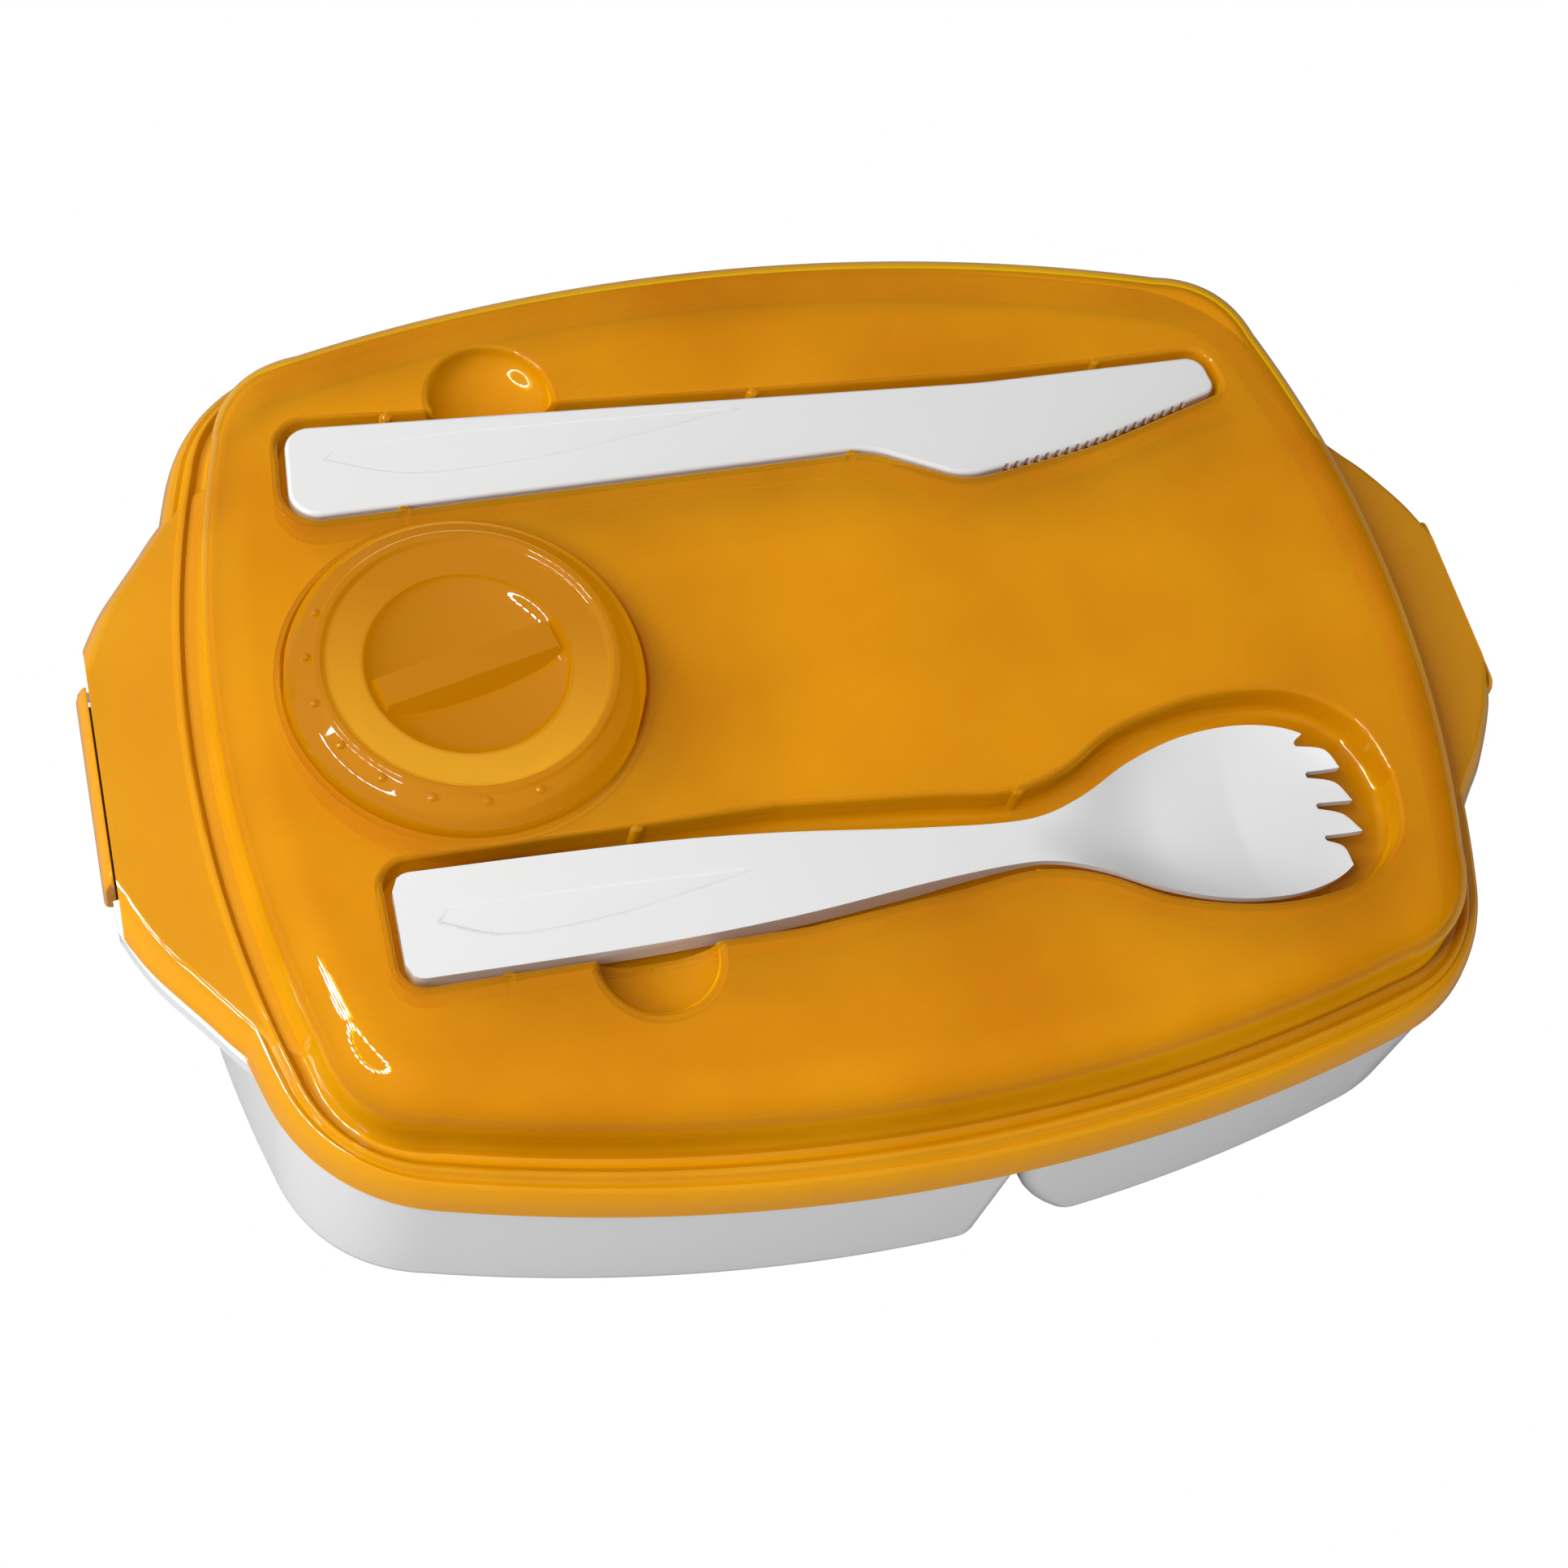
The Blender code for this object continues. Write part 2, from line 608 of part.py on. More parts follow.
def base(material):
    """The base: two tubs side by side under one rim plate, solid because the shut lid hides their insides."""
    plate_levels = (-PLATE_UNDER, PLATE_OVER)
    plate = lofted("base", [at_height(rim_outline(PLATE_INSET), BASE_HEIGHT + z) for z in plate_levels], material)
    for name, side in (("tub_left", -1), ("tub_right", 1)):
        rings = [tub_ring(side, z, inset, turn) for z, inset, turn in reversed(tub_levels())]
        combine(plate, lofted(name, rings), "UNION")
    for name, side in (("base_tab_left", -1), ("base_tab_right", 1)):
        combine(plate, base_tab(name, side), "UNION")
    return plate


def clip(name, side, material):
    """A snap clip: a flap that slopes out from the tab's edge, with a lip that hooks under the base's tab."""
    inner = TAB_REACH + GAP
    outer = inner + CLIP_THICKNESS
    top = BASE_HEIGHT + CLIP_TOP
    foot = top - CLIP_DROP
    section = [
        (inner, top),
        (inner, foot + 2.2),
        (inner - CLIP_HOOK, foot + 1.6),
        (inner - CLIP_HOOK, foot + 0.6),
        (inner - CLIP_HOOK / 2, foot),
        (outer - 0.6, foot),
        (outer, foot + 0.6),
        (outer, top - CLIP_SLOPE),
        (outer - 0.7, top - CLIP_SLOPE / 3),
        (inner + 0.4, top),
    ]
    middle = (top + foot) / 2
    ends = ((1.9, 0.3), (1.0, 0.12), (0.4, 0.03), (0.0, 0.0))
    rings = []
    for end, levels in ((-1, ends), (1, reversed(ends))):
        for from_end, shrink in levels:
            y = end * (CLIP_HALF_WIDTH - 1.9 + from_end)
            rings.append([(side * (x + (inner - x) * shrink), y, z + (middle - z) * shrink) for x, z in section])
    return lofted(name, rings, material)


def dressing_pot(material):
    """The round pot's cap: a stepped ring, a dished middle and a grip rib across the dish."""
    top = PANEL_Z + POT_RISE
    profile = [
        (POT_RADIUS - 0.8, PANEL_Z - POCKET_DEPTH + GAP),
        (POT_RADIUS, PANEL_Z - POCKET_DEPTH + GAP + 0.8),
        (POT_RADIUS, PANEL_Z + 0.1),
        (POT_RADIUS - 1.0, PANEL_Z + 2.6),
        (POT_RADIUS - 2.0, top - 0.6),
        (POT_RADIUS - 2.8, top),
        (RING_RADIUS + 0.5, top),
        (RING_RADIUS, top + 0.6),
        (RING_RADIUS - 0.6, top + 0.6),
        (RING_RADIUS - 1.1, top + 0.1),
        (DISH_RADIUS + 0.4, top - 0.4),
    ]
    steps = 6
    for i in range(steps):
        angle = math.pi / 2 * i / steps
        profile.append((DISH_RADIUS * math.cos(angle), top - 0.7 - DISH_DEPTH * math.sin(angle)))
    profile.append((0.5, top - 0.7 - DISH_DEPTH))
    cap = turned("dressing_pot", profile, (POT_X, POT_Y), 44, material)
    combine(cap, grip_rib(), "UNION")
    for i in range(NUB_COUNT):
        angle = math.radians(NUB_FIRST_ANGLE + NUB_STEP_ANGLE * i)
        centre = (POT_X + NUB_RING_RADIUS * math.cos(angle), POT_Y + NUB_RING_RADIUS * math.sin(angle))
        nub = turned(f"nub_{i + 1}", [(0.65, top - 0.6), (0.65, top + 0.3), (0.3, top + 0.55)], centre, 6)
        combine(cap, nub, "UNION")
    return cap


def grip_rib():
    """The rib by which the cap is turned: narrow on top, wider at its foot, with its ends inside the dish's rim."""
    foot = PANEL_Z + POT_RISE - DISH_DEPTH - 1.6
    head = PANEL_Z + POT_RISE - 1.0
    rings = []
    for half_width, half_length, z in ((5.2, 17.4, foot), (2.9, 16.9, head - 0.6), (2.3, 16.4, head)):
        corners = [(-half_length, -half_width), (half_length, -half_width), (half_length, half_width),
                   (-half_length, half_width)]
        ring = []
        for x, y in corners:
            ring.append((
                POT_X + x * math.cos(GRIP_TURN) - y * math.sin(GRIP_TURN),
                POT_Y + x * math.sin(GRIP_TURN) + y * math.cos(GRIP_TURN),
                z,
            ))
        rings.append(ring)
    return lofted("grip_rib", rings)


def main():
    clear_scene()
    orange = plastic("orange_lid_plastic", ORANGE, 0.15)
    deep_orange = plastic("orange_cap_plastic", DEEP_ORANGE, 0.15)
    white = plastic("white_base_plastic", WHITE, 0.3)
    cutlery = plastic("white_cutlery_plastic", WHITE, 0.25)
    base(white)
    lid(orange)
    clip("clip_left", -1, orange)
    clip("clip_right", 1, orange)
    dressing_pot(deep_orange)
    knife(cutlery)
    spork(cutlery)


main()
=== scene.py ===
import math

import bmesh
import bpy
from mathutils import Matrix, Vector


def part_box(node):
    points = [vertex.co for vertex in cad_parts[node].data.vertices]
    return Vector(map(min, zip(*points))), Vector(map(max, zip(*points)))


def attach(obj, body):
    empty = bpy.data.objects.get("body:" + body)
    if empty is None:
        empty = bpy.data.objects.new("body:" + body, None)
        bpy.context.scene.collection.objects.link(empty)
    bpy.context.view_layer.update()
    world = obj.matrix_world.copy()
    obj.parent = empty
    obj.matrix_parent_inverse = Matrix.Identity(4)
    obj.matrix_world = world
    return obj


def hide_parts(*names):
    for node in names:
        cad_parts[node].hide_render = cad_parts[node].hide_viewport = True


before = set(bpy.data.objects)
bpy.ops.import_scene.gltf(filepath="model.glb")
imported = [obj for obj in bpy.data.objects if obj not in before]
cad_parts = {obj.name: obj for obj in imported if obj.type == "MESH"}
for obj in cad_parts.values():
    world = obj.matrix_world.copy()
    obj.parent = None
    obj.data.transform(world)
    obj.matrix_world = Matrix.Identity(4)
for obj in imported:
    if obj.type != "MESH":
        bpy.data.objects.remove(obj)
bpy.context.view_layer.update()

# Lengths below are in millimetres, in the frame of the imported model
MM = 0.001
SKIRT_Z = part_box("lid")[0].z / MM
PANEL_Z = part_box("lid")[1].z / MM
KNIFE_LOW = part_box("knife")[0] / MM
KNIFE_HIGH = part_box("knife")[1] / MM
SPORK_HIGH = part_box("spork")[1] / MM
POT_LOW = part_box("dressing_pot")[0] / MM
POT_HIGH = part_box("dressing_pot")[1] / MM

# Plan of the lid's rim: four shallow arcs joined by round corners
RIM_HALF_LENGTH = 115.8
RIM_HALF_WIDTH = 92.7
LONG_SIDE_RADIUS = 312.7
SHORT_SIDE_RADIUS = 207.9
CORNER_RADIUS = 32.7
SHOULDER_CORNER_FILL = 1.7
TUB_CORNER_FILL = 1.0
RIM_STEPS = (30, 26, 40)

# Tubs under the rim
TUB_INSET = 0.8
TUB_FILLET = 7.0
PARTING_X = 11.4
PARTING_CORNER_RADIUS = 4.0
RIGHT_WALL_CURVE = 90.0

# Lid, its end tabs and its pockets
WALL = 1.3
SHOULDER_REACH = 8.6
SHOULDER_SIDE_TOP = 14.0
TAB_REACH = 125.3
TAB_TOP = 6.2
POCKET_DEPTH = 7.0
LIP = 1.0
FOOT_ROUND = 1.6
LIP_START = math.radians(6)

# Finger bowls in the lid, as (x, y, radius), and the small upright ribs on the pockets' walls, the same way
KNIFE_BOWL = (-50.8, 56.3, 10.6)
SPORK_BOWL = (-45.3, -53.5, 9.8)
BOWL_DEPTH = 6.0
CATCH_RIBS = [
    (-69.8, 34.9, 1.15), (10.9, 36.5, 1.15), (-69.4, 55.1, 1.15), (-3.6, 52.5, 1.15), (62.8, 51.8, 1.15),
    (-69.0, -53.3, 1.3), (20.4, -50.0, 1.3), (-43.7, -30.1, 1.3), (21.4, -33.5, 1.3),
]

# Clips
CLIP_HALF_WIDTH = 18.6
CLIP_THICKNESS = 1.95
CLIP_TOP = SKIRT_Z + 4.8
CLIP_HEIGHT = 11.0
CLIP_HOOK = 1.4

# Knife and spork, along X from their handles' ends
KNIFE_LENGTH = 173.0
KNIFE_X = KNIFE_LOW.x
KNIFE_Y = 45.0
KNIFE_HANDLE = 104.0
BLADE_THICKNESS = 2.0
TOOTH_PITCH = 2.1
TOOTH_RADIUS = 0.8
TOOTH_DEPTH = 0.35
TOOTH_COUNT = 19
TOOTH_START = 24.0
RELIEF = 0.14
CUTLERY_CLEARANCE = 1.2
SPORK_LENGTH = 165.0
SPORK_BOWL_DEPTH = 4.4
HANDLE_THICKNESS = 4.8
BOWL_THINNING = 3.4
SPORK_X = -84.4
SPORK_Y = -41.9
SPORK_TURN = math.radians(-0.9)
SPORK_POCKET_Y = -41.6

# Dressing pot
POT_X = (POT_LOW.x + POT_HIGH.x) / 2
POT_Y = (POT_LOW.y + POT_HIGH.y) / 2
POT_RADIUS = 29.5
DISH_RADIUS = 17.0
DISH_DEPTH = 4.6
GRIP_TURN = math.radians(13.6)
GRIP_HALF_LENGTH = 17.6
GRIP_HALF_WIDTH = 5.2
NUB_COUNT = 8
NUB_FIRST_ANGLE = 151.5
NUB_STEP_ANGLE = 19.05
NUB_RING_RADIUS = 26.0
NUB_RADIUS = 0.65

# Orange plastics: body colours, the tint of what shows through, and how clear they are from 0 to 1
LID_ORANGE = (0.67, 0.345, 0.004, 1)
LID_DEEP_ORANGE = (0.51, 0.22, 0.0, 1)
# Painted shade: a darker copy of the lid's orange for its skirt and tabs low down
LID_PAINTED_SHADE_ORANGE = (0.54, 0.225, 0.0, 1)
LID_TINT = (1.0, 0.77, 0.08, 1)
LID_CLEARNESS = 0.68
LID_GLOSS = 0.65
SKIRT_CLEARNESS = 0.06
POT_ORANGE = (0.17, 0.07, 0.0, 1)
# Painted light: a lighter orange for the band round the pot's dish on its near left
POT_PAINTED_LIGHT_ORANGE = (0.36, 0.19, 0.01, 1)
POT_TINT = (1.0, 0.66, 0.03, 1)
POT_CLEARNESS = 0.3
POT_GLOSS = 0.5
# Painted light: the pot glows a little to lift its shade, and glows more in the painted band of light
POT_PAINTED_GLOW = (0.68, 0.27, 0.0, 1)
POT_PAINTED_LIGHT_GLOW = (0.85, 0.42, 0.01, 1)
POT_PAINTED_GLOW_STRENGTH = 0.47

# Painted light: a lighter band round the pot's dish on its near left, where light falls: the radii over which
# its two edges fade, the way that it faces, and the distances along that way over which it grows
PAINTED_LIGHT_INNER = (16.8, 17.6)
PAINTED_LIGHT_OUTER = (22.8, 23.8)
PAINTED_LIGHT_TOWARD = (-0.35, -0.94, 0.0)
PAINTED_LIGHT_SIDE = (-12.0, 20.0)

# White plastics
BASE_WHITE = (0.63, 0.63, 0.635, 1)
CUTLERY_WHITE = (0.48, 0.48, 0.48, 1)

# Camera, solved from the photograph's outline: in millimetres and degrees
CAMERA_PLACE = (-126.6, -204.0, 417.7)
CAMERA_AZIMUTH = 31.5
CAMERA_DOWN = 59.74
CAMERA_ROLL = -19.73
CAMERA_LENS = 57.54
SENSOR = 36.0

# Light, in metres and watts: where the lamps stand, and how the sky's brightness follows the key's direction
LIGHT_FROM = (-0.68, -0.12, 0.74)
KEY_REACH = 1.2
KEY_SIZE = (1.0, 1.0)
KEY_POWER = 5.2
FILL_PLACE = (0.6, -0.6, 0.08)
FILL_TARGET = (0.08, 0.0, 0.02)
FILL_SIZE = (1.0, 0.3)
FILL_POWER = 6.6
LOOP_REACH = 0.97
LOOP_RADIUS = 0.27
LOOP_LAMPS = 20
LOOP_LAMP_SIZE = 0.06
LOOP_POWER = 14.0
SKY_LEVEL = 0.18
SKY_SLOPE = 0.36
SKY_DARKEST = 0.02


# Outlines and profiles

def arc(centre, radius, start, end, steps, fill=0.0):
    """Points on a circle, both ends included. The fill bulges it out at each 45 degrees."""
    points = []
    for i in range(steps + 1):
        angle = start + (end - start) * i / steps
        reach = radius + fill * math.sin(2 * angle) ** 2
        points.append((centre[0] + reach * math.cos(angle), centre[1] + reach * math.sin(angle)))
    return points


def corner_centre():
    """Where the circle that rounds the rim's corner is centred: it touches both side arcs."""
    from_long = LONG_SIDE_RADIUS - CORNER_RADIUS
    from_short = SHORT_SIDE_RADIUS - CORNER_RADIUS
    long_y = RIM_HALF_WIDTH - LONG_SIDE_RADIUS
    short_x = RIM_HALF_LENGTH - SHORT_SIDE_RADIUS
    apart = math.hypot(short_x, long_y)
    along = (apart ** 2 + from_long ** 2 - from_short ** 2) / (2 * apart)
    across = math.sqrt(from_long ** 2 - along ** 2)
    unit = (short_x / apart, -long_y / apart)
    return (unit[0] * along + unit[1] * across, long_y + unit[1] * along - unit[0] * across)


def quarter(inset, long_end, steps, fill):
    """A quarter of the rim outline, from the short side's middle round to an angle on the long side."""
    centre = corner_centre()
    short_centre = (RIM_HALF_LENGTH - SHORT_SIDE_RADIUS, 0.0)
    long_centre = (0.0, RIM_HALF_WIDTH - LONG_SIDE_RADIUS)
    at_short = math.atan2(centre[1], centre[0] - short_centre[0])
    at_long = math.atan2(centre[1] - long_centre[1], centre[0])
    points = arc(short_centre, SHORT_SIDE_RADIUS - inset, 0.0, at_short, steps[0], fill)
    points += arc(centre, CORNER_RADIUS - inset, at_short, at_long, steps[1], fill)[1:]
    points += arc(long_centre, LONG_SIDE_RADIUS - inset, at_long, long_end, steps[2], fill)[1:]
    return points


def rim_outline(inset, fill=0.0):
    """The whole rim outline, anticlockwise, moved inwards by the inset."""
    part = quarter(inset, math.pi / 2, RIM_STEPS, fill)
    outline = list(part)
    outline += [(-x, y) for x, y in reversed(part[:-1])]
    outline += [(-x, -y) for x, y in part[1:]]
    outline += [(x, -y) for x, y in reversed(part[1:-1])]
    return outline


def between(p, q, r, s, t):
    """The Catmull-Rom value a fraction t of the way from q to r, with p before them and s after."""
    bend = 2 * p - 5 * q + 4 * r - s
    twist = 3 * q - p - 3 * r + s
    return 0.5 * (2 * q + (r - p) * t + bend * t ** 2 + twist * t ** 3)


def smooth_line(points, steps):
    """A Catmull-Rom line through the points, with this many steps between each two."""
    ends = [points[0]] + list(points) + [points[-1]]
    line = [points[0]]
    for a, b, c, d in zip(ends, ends[1:], ends[2:], ends[3:]):
        for i in range(1, steps + 1):
            line.append(tuple(between(p, q, r, s, i / steps) for p, q, r, s in zip(a, b, c, d)))
    return line


def rounded(corners, steps=10, closed=True):
    """A line from (x, y, radius) corners, each one rounded by an arc that touches both sides."""
    outline = []
    count = len(corners)
    for i, (x, y, radius) in enumerate(corners):
        if radius == 0.0 or (not closed and i in (0, count - 1)):
            outline.append((x, y))
            continue
        before = corners[i - 1]
        after = corners[(i + 1) % count]
        into = math.atan2(y - before[1], x - before[0])
        out = math.atan2(after[1] - y, after[0] - x)
        turn = (out - into + math.pi) % (2 * math.pi) - math.pi
        reach = radius * math.tan(abs(turn) / 2)
        side = math.copysign(1.0, turn)
        centre = (
            x - reach * math.cos(into) - side * radius * math.sin(into),
            y - reach * math.sin(into) + side * radius * math.cos(into),
        )
        start = into - side * math.pi / 2
        outline += arc(centre, radius, start, start + turn, steps)
    return outline


def spaced(outline):
    """The outline without the points that repeat the one before them."""
    return [spot for i, spot in enumerate(outline) if math.dist(spot, outline[i - 1]) > 0.03]


def grown(outline, distance):
    """The outline moved outwards by a distance, corner by corner."""
    moved = []
    count = len(outline)
    for i, (x, y) in enumerate(outline):
        before = outline[i - 1]
        after = outline[(i + 1) % count]
        into = math.atan2(y - before[1], x - before[0])
        out = math.atan2(after[1] - y, after[0] - x)
        turn = (out - into + math.pi) % (2 * math.pi) - math.pi
        normal = into + turn / 2 - math.pi / 2
        reach = distance / max(math.cos(turn / 2), 0.5)
        moved.append((x + reach * math.cos(normal), y + reach * math.sin(normal)))
    return moved


def at_height(outline, z):
    """The outline's points in space, all at one height."""
    return [(x, y, z) for x, y in outline]


def clamp(value):
    """The value kept between 0 and 1."""
    return min(max(value, 0.0), 1.0)


def drop_outline():
    """Plan of the drop-shaped hollow in a handle's top, from its round end to its point."""
    line = smooth_line([(7.0, 2.0), (22.0, -2.8), (44.0, -2.2), (62.0, 0.4), (82.0, 3.9)], 8)
    return line + [(78.0, 4.5), (54.0, 5.0), (30.0, 5.4), (10.0, 4.6)]


def lip_levels(radius, top, count=7):
    """Levels down over a rounded edge, from nearly flat to upright, as (inset, z)."""
    turns = [LIP_START + (math.pi / 2 - LIP_START) * i / count for i in range(count + 1)]
    return [(radius * math.sin(turn), top - radius * (1 - math.cos(turn))) for turn in turns]


def foot_levels(radius, inset, bottom, count=7):
    """Levels down round an inside corner, from upright to flat, as (inset, z)."""
    turns = [math.pi / 2 * i / count for i in range(count + 1)]
    return [(inset + radius * (1 - math.cos(turn)), bottom + radius * (1 - math.sin(turn))) for turn in turns]


# Modelling by operators

def only(piece):
    """Selects this piece alone and makes it active."""
    bpy.ops.object.select_all(action="DESELECT")
    piece.select_set(True)
    bpy.context.view_layer.objects.active = piece


def drawn(name, line, closed=True):
    """A mesh of one line through points in space."""
    curve = bpy.data.curves.new(name, "CURVE")
    curve.dimensions = "3D"
    spline = curve.splines.new("POLY")
    spline.points.add(len(line) - 1)
    for point, (x, y, z) in zip(spline.points, line):
        point.co = (x * MM, y * MM, z * MM, 1.0)
    spline.use_cyclic_u = closed
    piece = bpy.data.objects.new(name, curve)
    bpy.context.scene.collection.objects.link(piece)
    only(piece)
    bpy.ops.object.convert(target="MESH")
    piece = bpy.context.view_layer.objects.active
    piece.name = name
    return piece


def stacked(name, rings):
    """A solid grown ring by ring: the first ring is filled, then extruded and fitted to each next one."""
    piece = drawn(name, rings[0])
    bpy.ops.object.mode_set(mode="EDIT")
    bpy.ops.mesh.select_mode(type="FACE")
    bpy.ops.mesh.select_all(action="SELECT")
    bpy.ops.mesh.edge_face_add()
    count = len(rings[0])
    for before, after in zip(rings, rings[1:]):
        bpy.ops.mesh.extrude_region_move()
        mesh = bmesh.from_edit_mesh(piece.data)
        cap = next(face for face in mesh.faces if face.select)
        loop = list(cap.verts)
        first = min(range(count), key=lambda i: (loop[i].co - Vector(before[0]) * MM).length)
        ahead = (loop[(first + 1) % count].co - Vector(before[1]) * MM).length
        behind = (loop[first - 1].co - Vector(before[1]) * MM).length
        way = 1 if ahead < behind else -1
        for i, spot in enumerate(after):
            loop[(first + way * i) % count].co = Vector(spot) * MM
        bmesh.update_edit_mesh(piece.data)
    bpy.ops.mesh.select_all(action="SELECT")
    bpy.ops.mesh.normals_make_consistent(inside=False)
    bpy.ops.object.mode_set(mode="OBJECT")
    return piece


def tapered(name, outline, levels):
    """A solid whose rings are one outline moved inwards by each level's inset, at its height."""
    outline = spaced(outline)
    return stacked(name, [at_height(grown(outline, -inset), z) for inset, z in levels])


def turned(name, profile, centre, segments=96):
    """A solid spun about an upright axis from (radius, z) points, the first and the last on the axis."""
    piece = drawn(name, [(centre[0] + r, centre[1], z) for r, z in profile], closed=False)
    bpy.ops.object.mode_set(mode="EDIT")
    bpy.ops.mesh.select_all(action="SELECT")
    middle = (centre[0] * MM, centre[1] * MM, 0.0)
    bpy.ops.mesh.spin(steps=segments, angle=2 * math.pi, center=middle, axis=(0, 0, 1))
    bpy.ops.mesh.select_all(action="SELECT")
    bpy.ops.mesh.remove_doubles(threshold=0.002 * MM)
    bpy.ops.mesh.normals_make_consistent(inside=False)
    bpy.ops.object.mode_set(mode="OBJECT")
    return piece


def combine(piece, tool, operation):
    """Joins the tool to the piece, or cuts it away, and removes it."""
    only(piece)
    modifier = piece.modifiers.new("combine", "BOOLEAN")
    modifier.operation = operation
    modifier.solver = "EXACT"
    modifier.object = tool
    bpy.ops.object.modifier_apply(modifier=modifier.name)
    bpy.data.objects.remove(tool, do_unlink=True)


def pick(piece, kind, test):
    """Goes into edit mode with only those faces, edges or vertices selected that pass the test."""
    only(piece)
    bpy.ops.object.mode_set(mode="EDIT")
    bpy.ops.mesh.select_mode(type=kind)
    bpy.ops.mesh.select_all(action="DESELECT")
    mesh = bmesh.from_edit_mesh(piece.data)
    found = {"FACE": mesh.faces, "EDGE": mesh.edges, "VERT": mesh.verts}[kind]
    for item in found:
        if test(item):
            item.select_set(True)
    mesh.select_flush_mode()
    bmesh.update_edit_mesh(piece.data)


def leave_edit():
    """Goes back to object mode."""
    bpy.ops.object.mode_set(mode="OBJECT")


def solidified(piece, thickness):
    """Gives the piece a wall, inwards from its outer face."""
    only(piece)
    modifier = piece.modifiers.new("wall", "SOLIDIFY")
    modifier.thickness = thickness * MM
    modifier.offset = -1.0
    bpy.ops.object.modifier_apply(modifier=modifier.name)


def bevelled(piece, width, segments, degrees):
    """Rounds the edges that turn by more than an angle."""
    only(piece)
    modifier = piece.modifiers.new("edges", "BEVEL")
    modifier.width = width * MM
    modifier.segments = segments
    modifier.limit_method = "ANGLE"
    modifier.angle_limit = math.radians(degrees)
    bpy.ops.object.modifier_apply(modifier=modifier.name)


def finished(piece, node, material, degrees=35):
    """Smooths the piece with its flat faces kept flat, and puts it in the place of its CAD node."""
    only(piece)
    bpy.ops.object.shade_smooth_by_angle(angle=math.radians(degrees))
    modifier = piece.modifiers.new("normals", "WEIGHTED_NORMAL")
    modifier.keep_sharp = True
    bpy.ops.object.modifier_apply(modifier=modifier.name)
    piece.data.materials.clear()
    piece.data.materials.append(material)
    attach(piece, "root")
    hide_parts(node)
    return piece


# Materials

class Value:
    """A shader socket that can be used in Python arithmetic."""

    def __init__(self, tree, socket):
        self.tree = tree
        self.socket = socket

    def maths(self, operation, a, b):
        """The value of a Math node on two values or numbers."""
        node = self.tree.nodes.new("ShaderNodeMath")
        node.operation = operation
        for socket, value in zip(node.inputs, (a, b)):
            if isinstance(value, Value):
                self.tree.links.new(value.socket, socket)
            else:
                socket.default_value = value
        return Value(self.tree, node.outputs[0])

    def __add__(self, other):
        return self.maths("ADD", self, other)

    def __mul__(self, other):
        return self.maths("MULTIPLY", self, other)

    def __sub__(self, other):
        return self.maths("SUBTRACT", self, other)

    def __rsub__(self, other):
        return self.maths("SUBTRACT", other, self)

    __radd__ = __add__
    __rmul__ = __mul__


class Finish:
    """A new material with its Principled shader, and the nodes that are added to it."""

    def __init__(self, name, colour, roughness, **sockets):
        self.material = bpy.data.materials.new(name)
        self.material.use_nodes = True
        self.tree = self.material.node_tree
        self.shader = self.tree.nodes["Principled BSDF"]
        self.put(self.shader, {"Base Color": colour, "Roughness": roughness, **sockets})
        self.material.diffuse_color = colour
        self.place = self.node("ShaderNodeTexCoord").outputs["Object"]

    def put(self, node, values):
        """Sets or links a node's sockets, each by its name or number."""
        for key, value in values.items():
            socket = node.inputs[key]
            if isinstance(value, Value):
                self.tree.links.new(value.socket, socket)
            elif isinstance(value, bpy.types.NodeSocket):
                self.tree.links.new(value, socket)
            else:
                socket.default_value = value

    def node(self, kind, settings=None, **values):
        """Adds a node of any type, with its settings first and then its sockets."""
        node = self.tree.nodes.new(kind)
        for key, value in (settings or {}).items():
            setattr(node, key, value)
        self.put(node, {key.replace("_", " "): value for key, value in values.items()})
        return node

    def noise(self, scale, detail=2.0):
        """An even noise over the piece, as a value."""
        found = self.node("ShaderNodeTexNoise", Vector=self.place, Scale=scale, Detail=detail)
        return Value(self.tree, found.outputs[0])

    def mixed(self, factor, first, second):
        """A colour between two, by a factor from 0 to 1."""
        mix = self.node("ShaderNodeMix", {"data_type": "RGBA"})
        self.put(mix, {0: factor, 6: first, 7: second})
        return mix.outputs[2]

    def bump(self, height, strength, distance):
        """Lifts the surface by a value, in light and shade only."""
        bump = self.node("ShaderNodeBump", Height=height, Strength=strength, Distance=distance)
        self.put(self.shader, {"Normal": bump.outputs[0]})


def ramp(value, low, high):
    """A value turned into 0 at or under the low mark and 1 at or over the high one, evenly between them."""
    share = (value + -low) * (1.0 / (high - low))
    return share.maths("MINIMUM", share.maths("MAXIMUM", share, 0.0), 1.0)


def see_through(name, colour, clear_tint, clearness, gloss):
    """Glossy plastic that lets light through, less so low down and seen aslant, with its mask of height."""
    finish = Finish(name, colour, 0.02)
    ripple = finish.noise(80.0, detail=1.0)
    finish.put(finish.shader, {"Roughness": 0.01 + ripple * 0.02, "Specular IOR Level": gloss})
    finish.bump(ripple, strength=0.03, distance=0.0004)
    height = Value(finish.tree, finish.node("ShaderNodeSeparateXYZ", Vector=finish.place).outputs["Z"])
    raised = ramp(height, (SKIRT_Z + 3.0) * MM, (SKIRT_Z + 12.0) * MM)
    share = raised * (clearness - SKIRT_CLEARNESS) + SKIRT_CLEARNESS
    slant = Value(finish.tree, finish.node("ShaderNodeLayerWeight").outputs["Facing"])
    clear = finish.node("ShaderNodeBsdfTransparent", Color=clear_tint)
    mix = finish.node("ShaderNodeMixShader")
    share = share * (1 - ramp(slant, 0.5, 0.85))
    finish.put(mix, {0: share, 1: finish.shader.outputs[0], 2: clear.outputs[0]})
    finish.put(finish.tree.nodes["Material Output"], {"Surface": mix.outputs[0]})
    return finish, raised


